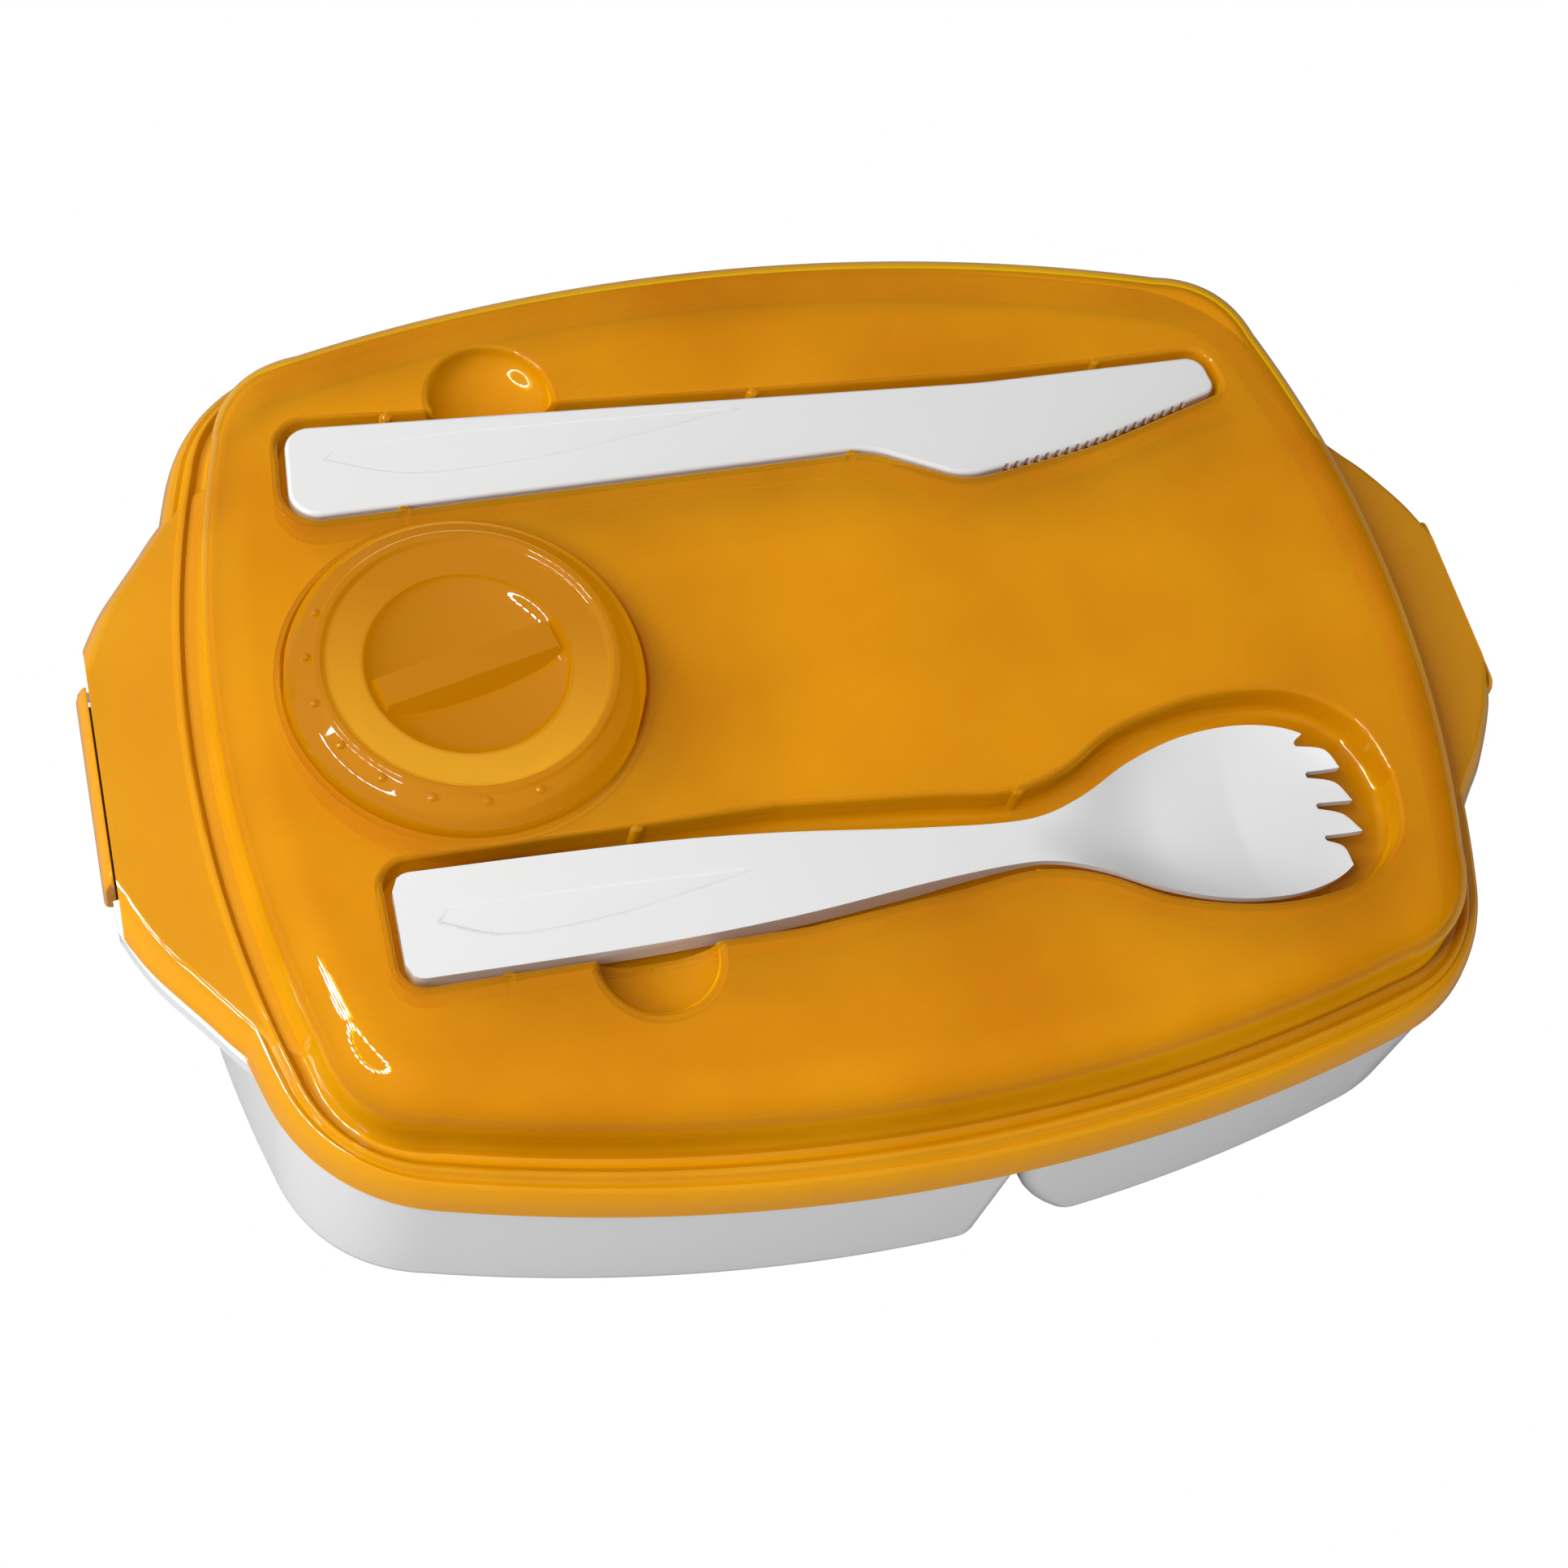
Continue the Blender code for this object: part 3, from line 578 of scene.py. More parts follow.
def lid_plastic():
    """The lid's orange: cloudy in the panel and shoulder, and one darker tone of painted shade in the skirt
    and tabs.
    """
    finish, raised = see_through("lid_plastic", LID_ORANGE, LID_TINT, LID_CLEARNESS, LID_GLOSS)
    cloud = ramp(finish.noise(24.0, detail=3.0), 0.3, 0.7)
    body = finish.mixed(cloud, LID_ORANGE, LID_DEEP_ORANGE)
    # The skirt and tabs low down take the darker orange, which is painted shade
    finish.put(finish.shader, {"Base Color": finish.mixed(raised, LID_PAINTED_SHADE_ORANGE, body)})
    return finish.material


def pot_plastic():
    """The pot's orange, with a painted glow that lifts its shade, and a painted band of light round the dish
    on its near left.
    """
    finish = see_through("pot_plastic", POT_ORANGE, POT_TINT, POT_CLEARNESS, POT_GLOSS)[0]
    from_centre = finish.node("ShaderNodeVectorMath", {"operation": "SUBTRACT"})
    finish.put(from_centre, {0: finish.place, 1: (POT_X * MM, POT_Y * MM, 0.0)})
    flat = finish.node("ShaderNodeVectorMath", {"operation": "MULTIPLY"})
    finish.put(flat, {0: from_centre.outputs[0], 1: (1.0, 1.0, 0.0)})
    length = finish.node("ShaderNodeVectorMath", {"operation": "LENGTH"})
    finish.put(length, {0: flat.outputs[0]})
    toward = finish.node("ShaderNodeVectorMath", {"operation": "DOT_PRODUCT"})
    finish.put(toward, {0: flat.outputs[0], 1: PAINTED_LIGHT_TOWARD})
    radius = Value(finish.tree, length.outputs["Value"])
    ahead = Value(finish.tree, toward.outputs["Value"])
    inside, outside, side = [[edge * MM for edge in pair] for pair in (PAINTED_LIGHT_INNER, PAINTED_LIGHT_OUTER, PAINTED_LIGHT_SIDE)]
    # Painted light: the band is lighter on the dish's near left, where light falls
    painted_band = ramp(radius, *inside) * (1 - ramp(radius, *outside)) * ramp(ahead, *side)
    body = finish.mixed(painted_band * 0.8, POT_ORANGE, POT_PAINTED_LIGHT_ORANGE)
    # Painted light: an emission that lifts the pot's shade, brighter in the painted band of light
    glow = finish.mixed(painted_band, POT_PAINTED_GLOW, POT_PAINTED_LIGHT_GLOW)
    finish.put(finish.shader, {"Base Color": body, "Emission Color": glow})
    finish.put(finish.shader, {"Emission Strength": POT_PAINTED_GLOW_STRENGTH})
    return finish.material


def white_plastic(name, colour, roughness, grain):
    """Moulded white plastic with a faint unevenness in gloss and surface."""
    finish = Finish(name, colour, roughness)
    shade = tuple(channel * 0.97 for channel in colour[:3]) + (1.0,)
    finish.put(finish.shader, {"Base Color": finish.mixed(finish.noise(30.0), colour, shade)})
    finish.put(finish.shader, {"Roughness": roughness - 0.05 + finish.noise(160.0) * 0.1})
    finish.bump(finish.noise(grain), strength=0.05, distance=0.0004)
    return finish.material


# Lid

def lid_levels():
    """The lid's profile from the skirt's edge over bead and groove up to the panel, as (inset, height)."""
    levels = [
        (0.0, 0.0), (0.15, 0.6), (0.35, 1.8), (0.7, 3.2), (1.2, 4.5), (1.9, 5.5), (2.3, 5.85), (2.7, 6.0),
        (3.1, 5.9), (3.5, 5.75), (3.8, 6.0), (4.05, 6.5), (4.35, 6.95), (4.75, 7.15), (5.2, 7.1), (5.6, 6.75),
        (5.95, 6.2), (6.3, 5.75), (6.8, 5.6), (7.4, 5.6), (7.8, 5.75), (8.05, 6.2), (8.2, 7.0), (8.35, 8.5),
        (8.6, 11.0), (8.9, SHOULDER_SIDE_TOP),
    ]
    foot = levels[-1][0]
    rise = PANEL_Z - SKIRT_Z - SHOULDER_SIDE_TOP
    count = 18
    for i in range(1, count + 1):
        turn = math.pi / 2 * i / count
        inset = foot + SHOULDER_REACH * (1 - math.cos(turn))
        levels.append((inset, SHOULDER_SIDE_TOP + rise * math.sin(turn)))
    return levels


def tab_edge(side):
    """The free edge of an end tab's top, from inside the rim out to the hinge edge. The two ends differ."""
    hinge = TAB_REACH + 0.2
    if side < 0:
        line = [(104.0, 52.5), (108.6, 47.0), (112.2, 42.0), (116.7, 36.0)]
        line += [(119.4, 32.1), (121.8, 27.6), (123.6, 23.4), (hinge, 18.9)]
    else:
        line = [(104.0, 47.5), (108.6, 40.8), (113.0, 35.0), (116.6, 30.6)]
        line += [(119.7, 25.8), (122.2, 21.3), (123.8, 17.4), (hinge, 13.6)]
    return smooth_line(line, 5)


def mirrored(side, upper):
    """A closed outline from its upper half, which runs outwards along +X, at either end of the box."""
    outline = [(side * x, y) for x, y in upper] + [(side * x, -y) for x, y in reversed(upper)]
    return outline if side < 0 else list(reversed(outline))


def end_tab(side):
    """An end tab: a flat top with a soft edge, a sloping flange, and a straight hinge edge."""
    edge = tab_edge(side)
    outline = mirrored(side, [(98.0, edge[0][1] + 3.0)] + edge + [(TAB_REACH + 5.0, edge[-1][1])])
    levels = [(-2.9, 0.3), (-2.9, 1.0), (-2.3, 2.6), (-1.5, 4.0), (-0.8, 5.0), (-0.5, 5.5)]
    levels += [(-0.15, 5.9), (0.3, 6.12), (0.8, TAB_TOP)]
    tab = tapered("tab", outline, [(inset, SKIRT_Z + z) for inset, z in levels])
    only(tab)
    bpy.ops.object.mode_set(mode="EDIT")
    bpy.ops.mesh.select_all(action="SELECT")
    cut = (side * (TAB_REACH - 0.1) * MM, 0.0, 0.0)
    bpy.ops.mesh.bisect(plane_co=cut, plane_no=(side, 0, 0), use_fill=True, clear_outer=True)
    leave_edit()
    at_hinge = (TAB_REACH - 0.15) * MM
    high = (SKIRT_Z + TAB_TOP - 0.05) * MM
    pick(tab, "EDGE", lambda e: all(side * v.co.x > at_hinge and v.co.z > high for v in e.verts))
    bpy.ops.mesh.bevel(offset=1.1 * MM, segments=5, affect="EDGES")
    leave_edit()
    return tab


def knife_outline():
    """Plan of the knife, anticlockwise: handle, neck, belly and edge."""
    x0 = KNIFE_X
    return rounded([
        (x0, KNIFE_Y - 9.2, 5.0),
        (x0 + 103.0, KNIFE_Y - 7.2, 16.0),
        (x0 + 119.5, KNIFE_Y - 15.6, 12.0),
        (x0 + 145.0, KNIFE_Y - 11.4, 90.0),
        (x0 + KNIFE_LENGTH + 0.5, KNIFE_Y - 2.6, 2.5),
        (x0 + KNIFE_LENGTH - 0.5, KNIFE_Y + 5.4, 3.6),
        (x0 + 128.0, KNIFE_Y + 4.6, 150.0),
        (x0 + 1.6, KNIFE_Y + 9.5, 4.6),
    ])


def edge_at(x):
    """Where the knife's lower edge stands at x."""
    line = [spot for spot in spaced(knife_outline()) if spot[1] < KNIFE_Y]
    line.sort()
    for (x0, y0), (x1, y1) in zip(line, line[1:]):
        if x0 <= x <= x1:
            return y0 + (y1 - y0) * (x - x0) / (x1 - x0)
    return line[-1][1]


def spork_pocket_outline():
    """Plan of the spork's pocket, anticlockwise: the same curve on both sides of its middle line."""
    corner = arc((-81.1, -6.5), 4.5, -math.pi, -math.pi / 2, 8)
    side = [(-20.0, -11.0), (6.0, -8.8), (20.0, -7.4), (31.0, -10.0), (43.0, -16.4), (60.0, -20.1)]
    side += [(76.0, -18.4), (85.6, -10.8), (88.3, 0.0)]
    half = corner + smooth_line(side, 9)
    full = half + [(x, -y) for x, y in reversed(half[:-1])]
    return [(x, y + SPORK_POCKET_Y) for x, y in full]


def pocket(name, outline):
    """Cutter for a pocket with a rounded lip, upright sides and a rounded foot."""
    wide = grown(spaced(outline), LIP)
    levels = [(LIP * math.sin(LIP_START), PANEL_Z + 1.0)] + lip_levels(LIP, PANEL_Z)
    levels += foot_levels(FOOT_ROUND, LIP, PANEL_Z - POCKET_DEPTH)
    return tapered(name, wide, levels)


def finger_bowl(name, bowl):
    """Cutter for a finger recess: a deep dish with a rounded lip."""
    x, y, radius = bowl
    profile = []
    count = 14
    for i in range(count + 1):
        angle = math.pi / 2 * i / count
        profile.append((radius * math.sin(angle), PANEL_Z - LIP - (BOWL_DEPTH - LIP) * math.cos(angle)))
    profile += [(radius + LIP - inset, z) for inset, z in reversed(lip_levels(LIP, PANEL_Z))]
    profile += [(profile[-1][0], PANEL_Z + 1.0), (0.0, PANEL_Z + 1.0)]
    return turned(name, profile, (x, y))


def pot_well(name):
    """Cutter for the round well that the pot stands in."""
    radius = POT_RADIUS + 0.35
    floor = PANEL_Z - POCKET_DEPTH
    profile = [(0.0, floor), (radius, floor), (radius, PANEL_Z - 0.5)]
    profile += [(radius + 0.5 - inset, z) for inset, z in reversed(lip_levels(0.5, PANEL_Z, count=4))]
    profile += [(profile[-1][0], PANEL_Z + 1.0), (0.0, PANEL_Z + 1.0)]
    return turned(name, profile, (POT_X, POT_Y), segments=144)


def catch_rib(x, y, radius):
    """A small upright rib on a pocket's wall, which holds the cutlery."""
    top = PANEL_Z - 0.5
    foot = PANEL_Z - POCKET_DEPTH - 0.6
    profile = [(0.0, foot), (radius, foot), (radius, top - 0.5)]
    profile += [(radius * 0.7, top - 0.12), (radius * 0.3, top), (0.0, top)]
    return turned("catch_rib", profile, (x, y), segments=20)


def lid(material):
    """The lid: a moulded sheet of one wall thickness, with pockets, well and finger bowls let into it."""
    rings = []
    for inset, z in lid_levels():
        fill = SHOULDER_CORNER_FILL * clamp((inset - 2.0) / 5.0)
        rings.append(at_height(rim_outline(inset, fill), SKIRT_Z + z))
    shell = stacked("lid_shell", rings)
    for side in (-1, 1):
        combine(shell, end_tab(side), "UNION")
    combine(shell, pocket("knife_pocket", grown(knife_outline(), CUTLERY_CLEARANCE)), "DIFFERENCE")
    combine(shell, pocket("spork_pocket", spork_pocket_outline()), "DIFFERENCE")
    combine(shell, pot_well("pot_well"), "DIFFERENCE")
    combine(shell, finger_bowl("knife_bowl", KNIFE_BOWL), "DIFFERENCE")
    combine(shell, finger_bowl("spork_bowl", SPORK_BOWL), "DIFFERENCE")
    for x, y, radius in CATCH_RIBS:
        combine(shell, catch_rib(x, y, radius), "UNION")
    low = (SKIRT_Z + 0.5) * MM
    pick(shell, "FACE", lambda f: f.normal.z < -0.9 and f.calc_center_median().z < low)
    bpy.ops.mesh.delete(type="FACE")
    bpy.ops.mesh.select_all(action="SELECT")
    bpy.ops.mesh.remove_doubles(threshold=0.02 * MM)
    bpy.ops.mesh.quads_convert_to_tris(quad_method="BEAUTY", ngon_method="BEAUTY")
    bpy.ops.mesh.dissolve_degenerate(threshold=0.005 * MM)
    leave_edit()
    solidified(shell, WALL)
    return finished(shell, "lid", material)


# Base

def tub_ring(side, z, inset, foot):
    """One ring of a tub: its end of the rim outline, closed by a straight wall with round corners."""
    depth = SKIRT_Z - z
    wall = PARTING_X + 0.35 + depth ** 2 / RIGHT_WALL_CURVE + 0.7 * foot if side > 0 else foot - PARTING_X
    radius = PARTING_CORNER_RADIUS
    long_y = RIM_HALF_WIDTH - LONG_SIDE_RADIUS
    reach = LONG_SIDE_RADIUS - inset - radius
    centre_x = wall + radius
    centre = (centre_x, long_y + math.sqrt(reach ** 2 - centre_x ** 2))
    long_end = math.atan2(centre[1] - long_y, centre[0])
    half = quarter(inset, long_end, (20, 26, 30), TUB_CORNER_FILL * depth / SKIRT_Z)
    half += arc(centre, radius, long_end, math.pi, 12)[1:]
    ring = [(x, y) for x, y in half] + [(x, -y) for x, y in reversed(half[1:])]
    if side < 0:
        ring = [(-x, y) for x, y in reversed(ring)]
    return at_height(ring, z)


def tub(side):
    """A tub from its rim down round the fillet, whose wall by the gap curves away on the right-hand one."""
    top = SKIRT_Z - 0.35
    rings = []
    for i in range(9):
        share = i / 8
        rings.append(tub_ring(side, top + (TUB_FILLET - top) * share, TUB_INSET + 0.2 * share, 0.0))
    for inset, z in foot_levels(TUB_FILLET, 0.0, 0.0, 12)[1:]:
        rings.append(tub_ring(side, z, TUB_INSET + 0.2 + inset, inset))
    return stacked("tub", rings)


def base_tab(side):
    """The base's own end tab: it shows as a thin edge under the lid's, and leaves the clip free to pass."""
    tip = (TAB_REACH + 0.8, CLIP_HALF_WIDTH + 1.2)
    free = [(x + 1.9, y + 3.1) for x, y in tab_edge(side)]
    edge = [(x, y) for x, y in free if x < tip[0] and y > tip[1] + 0.5]
    upper = [(104.0, edge[0][1])] + edge + [tip, (TAB_REACH - 1.4, CLIP_HALF_WIDTH + 0.8)]
    return tapered("base_tab", mirrored(side, upper), [(0.0, SKIRT_Z - 3.6), (0.0, SKIRT_Z - 0.2)])


def base(material):
    """The base: a plate under the lid's skirt with the two tubs below it and a tab at each end."""
    levels = [(-2.5, 3.0), (3.0, 3.0), (3.4, 3.4)]
    plate = stacked("base_shell", [at_height(rim_outline(inset), SKIRT_Z + z) for z, inset in levels])
    for side in (-1, 1):
        combine(plate, tub(side), "UNION")
        combine(plate, base_tab(side), "UNION")
    return finished(plate, "base", material)


# Clips, pot and cutlery

def clip(side, node, material):
    """A snap clip that slopes out from the tab's edge, has rounded ends, and hooks under the base's tab."""
    inner = TAB_REACH + 0.25
    outer = inner + CLIP_THICKNESS
    hook = inner - CLIP_HOOK
    top = CLIP_TOP
    foot = top - CLIP_HEIGHT
    section = [(inner, top), (inner, foot + 2.2), (hook, foot + 1.6), (hook, foot + 0.6), (inner - 0.7, foot)]
    section += [(outer - 0.6, foot), (outer, foot + 0.6), (outer, top - 4.0), (outer - 0.3, top - 2.3)]
    section += [(outer - 0.9, top - 0.9), (inner + 0.4, top)]
    middle = (top + foot) / 2
    rings = []
    for end in (-1, 1):
        turns = [math.radians(angle) for angle in range(80, -1, -10)]
        for turn in turns if end < 0 else reversed(turns):
            y = end * (CLIP_HALF_WIDTH - 1.9 * (1 - math.sin(turn)))
            shrink = 0.34 * (1 - math.cos(turn))
            shrunk = [(x + (inner - x) * shrink, z + (middle - z) * shrink) for x, z in section]
            rings.append([(side * x, y, z) for x, z in shrunk])
    piece = stacked(node + "_flap", rings)
    bevelled(piece, width=0.25, segments=3, degrees=50)
    return finished(piece, node, material)


def pot(material):
    """The pot's cap: a stepped ring with small nubs, a dished middle and a grip rib across it."""
    top = POT_HIGH.z - 0.6
    low = POT_LOW.z
    profile = [(0.0, low, 0.0), (POT_RADIUS, low, 0.8), (POT_RADIUS, PANEL_Z + 1.4, 2.0)]
    profile += [(27.6, PANEL_Z + 3.6, 2.4), (25.2, top - 0.1, 1.2), (24.7, top + 0.5, 0.3)]
    profile += [(23.7, top + 0.6, 0.5), (23.0, top - 0.3, 0.6), (DISH_RADIUS, top - 0.9, 0.8)]
    line = rounded(profile, steps=6, closed=False)
    count = 16
    for i in range(1, count + 1):
        angle = math.pi / 2 * i / count
        line.append((DISH_RADIUS * math.cos(angle), top - 0.9 - (DISH_DEPTH - 0.5) * math.sin(angle)))
    line[-1] = (0.0, line[-1][1])
    cap = turned("pot_cap", line, (POT_X, POT_Y), segments=144)
    length = GRIP_HALF_LENGTH
    width = GRIP_HALF_WIDTH
    rib = [(-length, -width), (length, -width), (length, width), (-length, width)]
    cosine = math.cos(GRIP_TURN)
    sine = math.sin(GRIP_TURN)
    plan = [(POT_X + x * cosine - y * sine, POT_Y + x * sine + y * cosine) for x, y in rib]
    foot = top - DISH_DEPTH - 1.2
    levels = [(0.0, foot), (2.0, foot + 3.6), (2.5, foot + 4.8), (2.9, foot + 5.0)]
    combine(cap, tapered("grip", plan, levels), "UNION")
    nub_low = top - 1.5
    nub_high = top + 0.25
    nub = [(0.0, nub_low), (NUB_RADIUS, nub_low), (NUB_RADIUS, nub_high - 0.2)]
    nub += [(NUB_RADIUS - 0.2, nub_high), (0.0, nub_high + 0.05)]
    for i in range(NUB_COUNT):
        angle = math.radians(NUB_FIRST_ANGLE + NUB_STEP_ANGLE * i)
        centre = (POT_X + NUB_RING_RADIUS * math.cos(angle), POT_Y + NUB_RING_RADIUS * math.sin(angle))
        combine(cap, turned("nub", nub, centre, segments=14), "UNION")
    return finished(cap, "dressing_pot", material, degrees=40)


def relief(piece, outline, top):
    """A shallow drop-shaped hollow in the top of a handle."""
    levels = [(-0.4, top + 0.4), (0.3, top - RELIEF), (0.5, top - RELIEF - 0.03)]
    combine(piece, tapered("relief", outline, levels), "DIFFERENCE")


def knife(material):
    """The knife: a deep handle and a thin blade with a row of small teeth near its tip."""
    low = PANEL_Z - POCKET_DEPTH + 0.35
    high = KNIFE_HIGH.z
    turns = [math.radians(angle) for angle in range(0, 91, 15)]
    levels = [(0.5, low), (0.0, low + 0.5)]
    levels += [(0.8 - 0.8 * math.cos(turn), high - 0.8 + 0.8 * math.sin(turn)) for turn in turns]
    piece = tapered("knife_body", knife_outline(), levels)
    neck = KNIFE_X + KNIFE_HANDLE
    under = high - BLADE_THICKNESS
    section = [(neck - 6.0, low - 2.0), (neck + 6.0, under), (neck + 90.0, under), (neck + 90.0, low - 2.0)]
    hollow = drawn("under_blade", [(x, KNIFE_Y - 30.0, z) for x, z in section])
    bpy.ops.object.mode_set(mode="EDIT")
    bpy.ops.mesh.select_all(action="SELECT")
    bpy.ops.mesh.edge_face_add()
    bpy.ops.mesh.extrude_region_move(TRANSFORM_OT_translate={"value": (0.0, 60.0 * MM, 0.0)})
    bpy.ops.mesh.select_all(action="SELECT")
    bpy.ops.mesh.normals_make_consistent(inside=False)
    leave_edit()
    combine(piece, hollow, "DIFFERENCE")
    for i in range(TOOTH_COUNT):
        x = neck + TOOTH_START + TOOTH_PITCH * i
        y = edge_at(x) - TOOTH_RADIUS + TOOTH_DEPTH
        notch = [(0.0, low - 3.0), (TOOTH_RADIUS, low - 3.0), (TOOTH_RADIUS, high + 3.0), (0.0, high + 3.0)]
        combine(piece, turned("notch", notch, (x, y), segments=20), "DIFFERENCE")
    relief(piece, [(KNIFE_X + x, KNIFE_Y + y) for x, y in drop_outline()], high)
    return finished(piece, "knife", material, degrees=40)


def spork_half_width(s):
    """Half the spork's width at a distance along it from the handle's end."""
    line = [(0.0, 9.2), (38.0, 8.9), (62.0, 7.6), (86.0, 5.0), (101.0, 3.9), (109.0, 4.4)]
    line += [(117.0, 7.2), (126.0, 11.9), (136.0, 15.3), (146.0, 16.4), (154.0, 15.4), (160.0, 12.6)]
    line += [(166.0, 6.5)]
    smooth = smooth_line(line, 6)
    for (s0, v0), (s1, v1) in zip(smooth, smooth[1:]):
        if s <= s1:
            return v0 + (v1 - v0) * (s - s0) / (s1 - s0)
    return smooth[-1][1]


def spork_point(s, across, z):
    """A point in the model from its distance along the spork and across it."""
    cosine = math.cos(SPORK_TURN)
    sine = math.sin(SPORK_TURN)
    return (SPORK_X + s * cosine - across * sine, SPORK_Y + s * sine + across * cosine, z)


def spork(material):
    """The spork: a grid formed to its plan and bowl, thickened downwards, with its tines sawn out."""
    bpy.ops.object.select_all(action="DESELECT")
    bpy.ops.mesh.primitive_grid_add(x_subdivisions=170, y_subdivisions=28, size=1.0)
    piece = bpy.context.view_layer.objects.active
    piece.name = "spork_body"
    bpy.ops.object.mode_set(mode="EDIT")
    bpy.ops.mesh.select_all(action="SELECT")
    bpy.ops.mesh.extrude_region_move(TRANSFORM_OT_translate={"value": (0.0, 0.0, -1.0)})
    leave_edit()
    for vertex in piece.data.vertices:
        s = (vertex.co.x + 0.5) * (SPORK_LENGTH + 0.6)
        u = vertex.co.y * 2
        half = spork_half_width(s)
        if s < 3.0:
            half -= 3.0 - math.sqrt(max(9.0 - (3.0 - s) ** 2, 0.0))
        bowl = clamp((s - 104.0) / 26.0)
        bowl = bowl * bowl * (3 - 2 * bowl)
        bowl *= 1.0 - 0.55 * clamp((s - 144.0) / 22.0)
        thickness = HANDLE_THICKNESS - BOWL_THINNING * clamp((s - 84.0) / 22.0)
        rim = SPORK_HIGH.z - 0.3 * clamp((s - 90.0) / 20.0)
        z = rim - SPORK_BOWL_DEPTH * bowl * (1 - u * u)
        if vertex.co.z < -0.5:
            z -= thickness
        vertex.co = Vector(spork_point(s, half * u, z)) * MM
    tips = [(160.0, 13.6), (164.4, 6.2), (165.2, 0.2), (164.4, -6.2), (160.0, -12.4)]
    roots = [(157.6, 12.0), (158.4, 6.3), (158.6, 0.4), (157.8, -6.0)]
    line = [(158.0, 19.0), tips[0]]
    for root, tip in zip(roots, tips[1:]):
        bulge = ((root[0] + tip[0]) / 2 + 1.3, (root[1] + tip[1]) / 2 + 0.7)
        line += [(root[0] + 0.4, root[1] + 0.45), (root[0], root[1])]
        line += smooth_line([(root[0] + 0.2, root[1] - 0.6), bulge, tip], 6)
    line += [(158.0, -19.0), (175.0, -19.0), (175.0, 19.0)]
    plan = [spork_point(s, across, 0.0)[:2] for s, across in line]
    only(piece)
    bpy.ops.object.mode_set(mode="EDIT")
    bpy.ops.mesh.select_all(action="SELECT")
    bpy.ops.mesh.normals_make_consistent(inside=False)
    leave_edit()
    combine(piece, tapered("tines", plan, [(0.0, PANEL_Z - 20.0), (0.0, PANEL_Z + 10.0)]), "DIFFERENCE")
    bevelled(piece, width=0.35, segments=3, degrees=40)
    groove = [spork_point(0.7 * s + 1.0, 0.8 * across - 1.6, 0.0)[:2] for s, across in drop_outline()]
    relief(piece, groove, SPORK_HIGH.z)
    return finished(piece, "spork", material, degrees=40)


# Studio

def softbox(name, place, target, size, energy, shows=False):
    """A flat lamp that faces its target; only one that shows is seen in glossy plastic."""
    lamp = bpy.data.lights.new(name, "AREA")
    lamp.shape = "RECTANGLE"
    lamp.size = size[0]
    lamp.size_y = size[1]
    lamp.energy = energy
    box = bpy.data.objects.new(name, lamp)
    box.location = place
    box.rotation_euler = (Vector(target) - Vector(place)).to_track_quat("-Z", "Y").to_euler()
    box.visible_glossy = shows
    bpy.context.scene.collection.objects.link(box)
    return box


def bright_loop(name, place, radius, energy):
    """A ring of small round lamps that face the box. Glossy plastic reflects it as a bright loop."""
    aim = (-Vector(place)).to_track_quat("-Z", "Y").to_matrix()
    for i in range(LOOP_LAMPS):
        angle = 2 * math.pi * i / LOOP_LAMPS
        spot = Vector(place) + aim @ Vector((radius * math.cos(angle), radius * math.sin(angle), 0.0))
        size = (LOOP_LAMP_SIZE, LOOP_LAMP_SIZE)
        lamp = softbox(f"{name}_{i}", spot, (0.0, 0.0, 0.0), size, energy / LOOP_LAMPS, shows=True)
        lamp.data.shape = "DISK"


def sky():
    """A sky that is bright where the light comes from, near left and above, and dark to the far right."""
    world = bpy.data.worlds.new("studio")
    world.use_nodes = True
    tree = world.node_tree
    where = tree.nodes.new("ShaderNodeTexCoord")
    facing = tree.nodes.new("ShaderNodeVectorMath")
    facing.operation = "DOT_PRODUCT"
    facing.inputs[1].default_value = Vector(LIGHT_FROM).normalized()
    tree.links.new(where.outputs["Generated"], facing.inputs[0])
    level = Value(tree, facing.outputs["Value"]) * SKY_SLOPE + SKY_LEVEL
    level = level.maths("MAXIMUM", level, SKY_DARKEST)
    back = tree.nodes["Background"]
    back.inputs["Color"].default_value = (1.0, 1.0, 1.0, 1.0)
    tree.links.new(level.socket, back.inputs["Strength"])
    bpy.context.scene.world = world


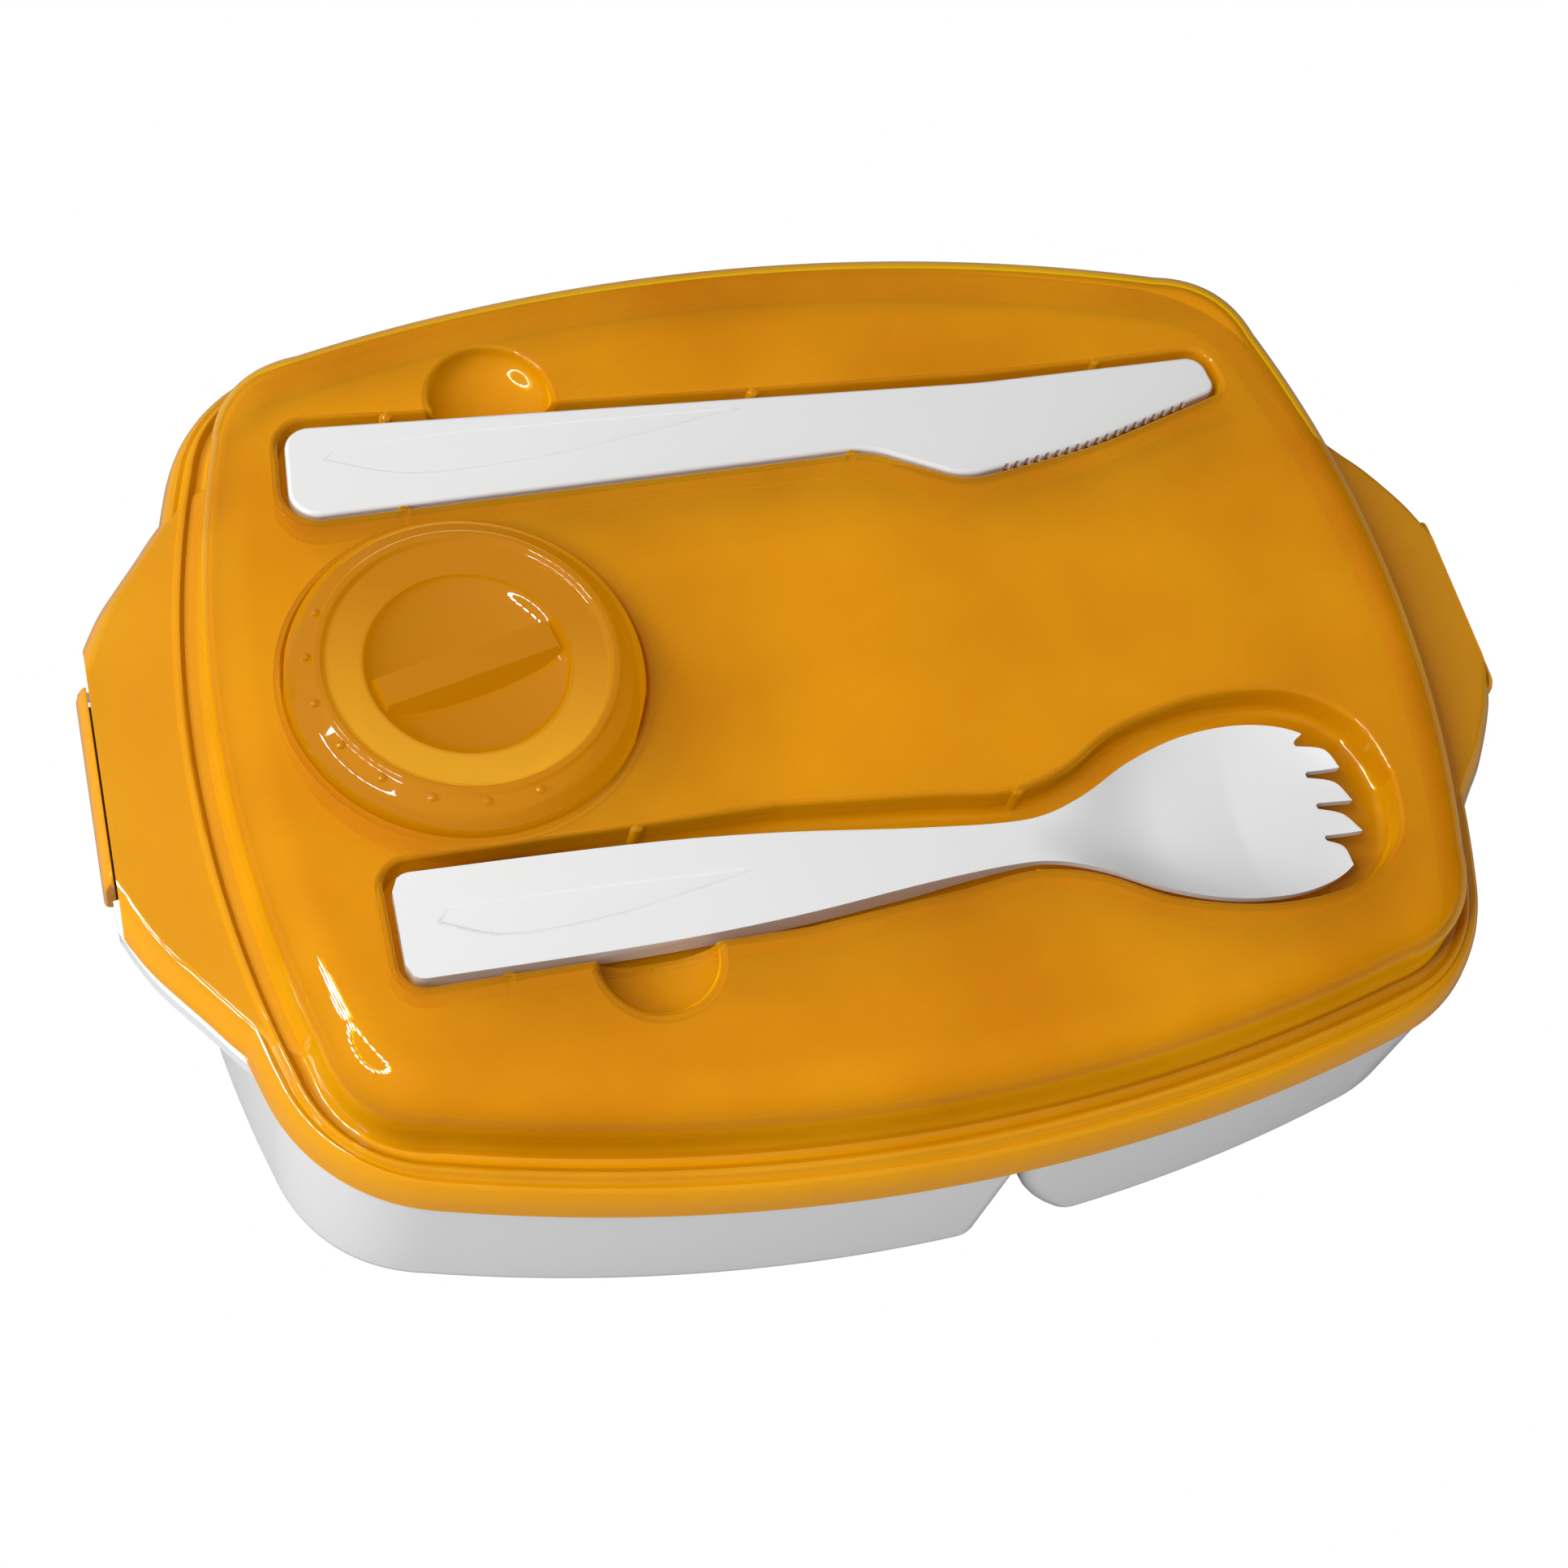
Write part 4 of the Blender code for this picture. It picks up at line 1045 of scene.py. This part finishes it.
def studio():
    """A white sweep with no visible shadow, and soft light from the near left and above."""
    bpy.ops.object.select_all(action="DESELECT")
    bpy.ops.mesh.primitive_plane_add(size=6.0, location=(0.0, 0.0, -0.0005))
    floor = bpy.context.view_layer.objects.active
    floor.name = "floor"
    paint = Finish("pale_floor", (0.15, 0.15, 0.15, 1.0), 0.9)
    glow = paint.node("ShaderNodeEmission", Color=(1.0, 1.0, 1.0, 1.0), Strength=1.0)
    path = paint.node("ShaderNodeLightPath")
    mix = paint.node("ShaderNodeMixShader")
    paint.put(mix, {0: path.outputs["Is Camera Ray"], 1: paint.shader.outputs[0], 2: glow.outputs[0]})
    paint.put(paint.tree.nodes["Material Output"], {"Surface": mix.outputs[0]})
    floor.data.materials.append(paint.material)
    sky()
    bpy.context.scene.view_settings.view_transform = "Standard"
    key = Vector(LIGHT_FROM)
    softbox("key", key * KEY_REACH, (0.0, 0.0, 0.05), KEY_SIZE, KEY_POWER)
    softbox("fill", FILL_PLACE, FILL_TARGET, FILL_SIZE, FILL_POWER)
    bright_loop("loop", key * LOOP_REACH, LOOP_RADIUS, LOOP_POWER)


def camera():
    """The camera at the photograph's place, turned by its azimuth, its tilt down and its roll."""
    azimuth = math.radians(CAMERA_AZIMUTH)
    down = math.radians(CAMERA_DOWN)
    roll = math.radians(CAMERA_ROLL)
    ahead = Vector((math.sin(azimuth) * math.cos(down), math.cos(azimuth) * math.cos(down), -math.sin(down)))
    right = ahead.cross(Vector((0, 0, 1))).normalized()
    below = ahead.cross(right)
    x_axis = right * math.cos(roll) + below * math.sin(roll)
    y_axis = right * math.sin(roll) - below * math.cos(roll)
    lens = bpy.data.cameras.new("camera")
    lens.lens = CAMERA_LENS
    lens.sensor_width = SENSOR
    lens.clip_start = 0.01
    view = bpy.data.objects.new("camera", lens)
    turn = Matrix((x_axis, y_axis, -ahead)).transposed().to_4x4()
    view.matrix_world = Matrix.Translation(Vector(CAMERA_PLACE) * MM) @ turn
    bpy.context.scene.collection.objects.link(view)
    bpy.context.scene.camera = view


def main():
    """Camera and studio first, then each piece in the material that it is moulded in."""
    camera()
    studio()
    orange = lid_plastic()
    deep = pot_plastic()
    white = white_plastic("base_plastic", BASE_WHITE, roughness=0.12, grain=120.0)
    cutlery = white_plastic("cutlery_plastic", CUTLERY_WHITE, roughness=0.2, grain=160.0)
    base(white)
    lid(orange)
    clip(-1, "clip_left", orange)
    clip(1, "clip_right", orange)
    pot(deep)
    knife(cutlery)
    spork(cutlery)


main()
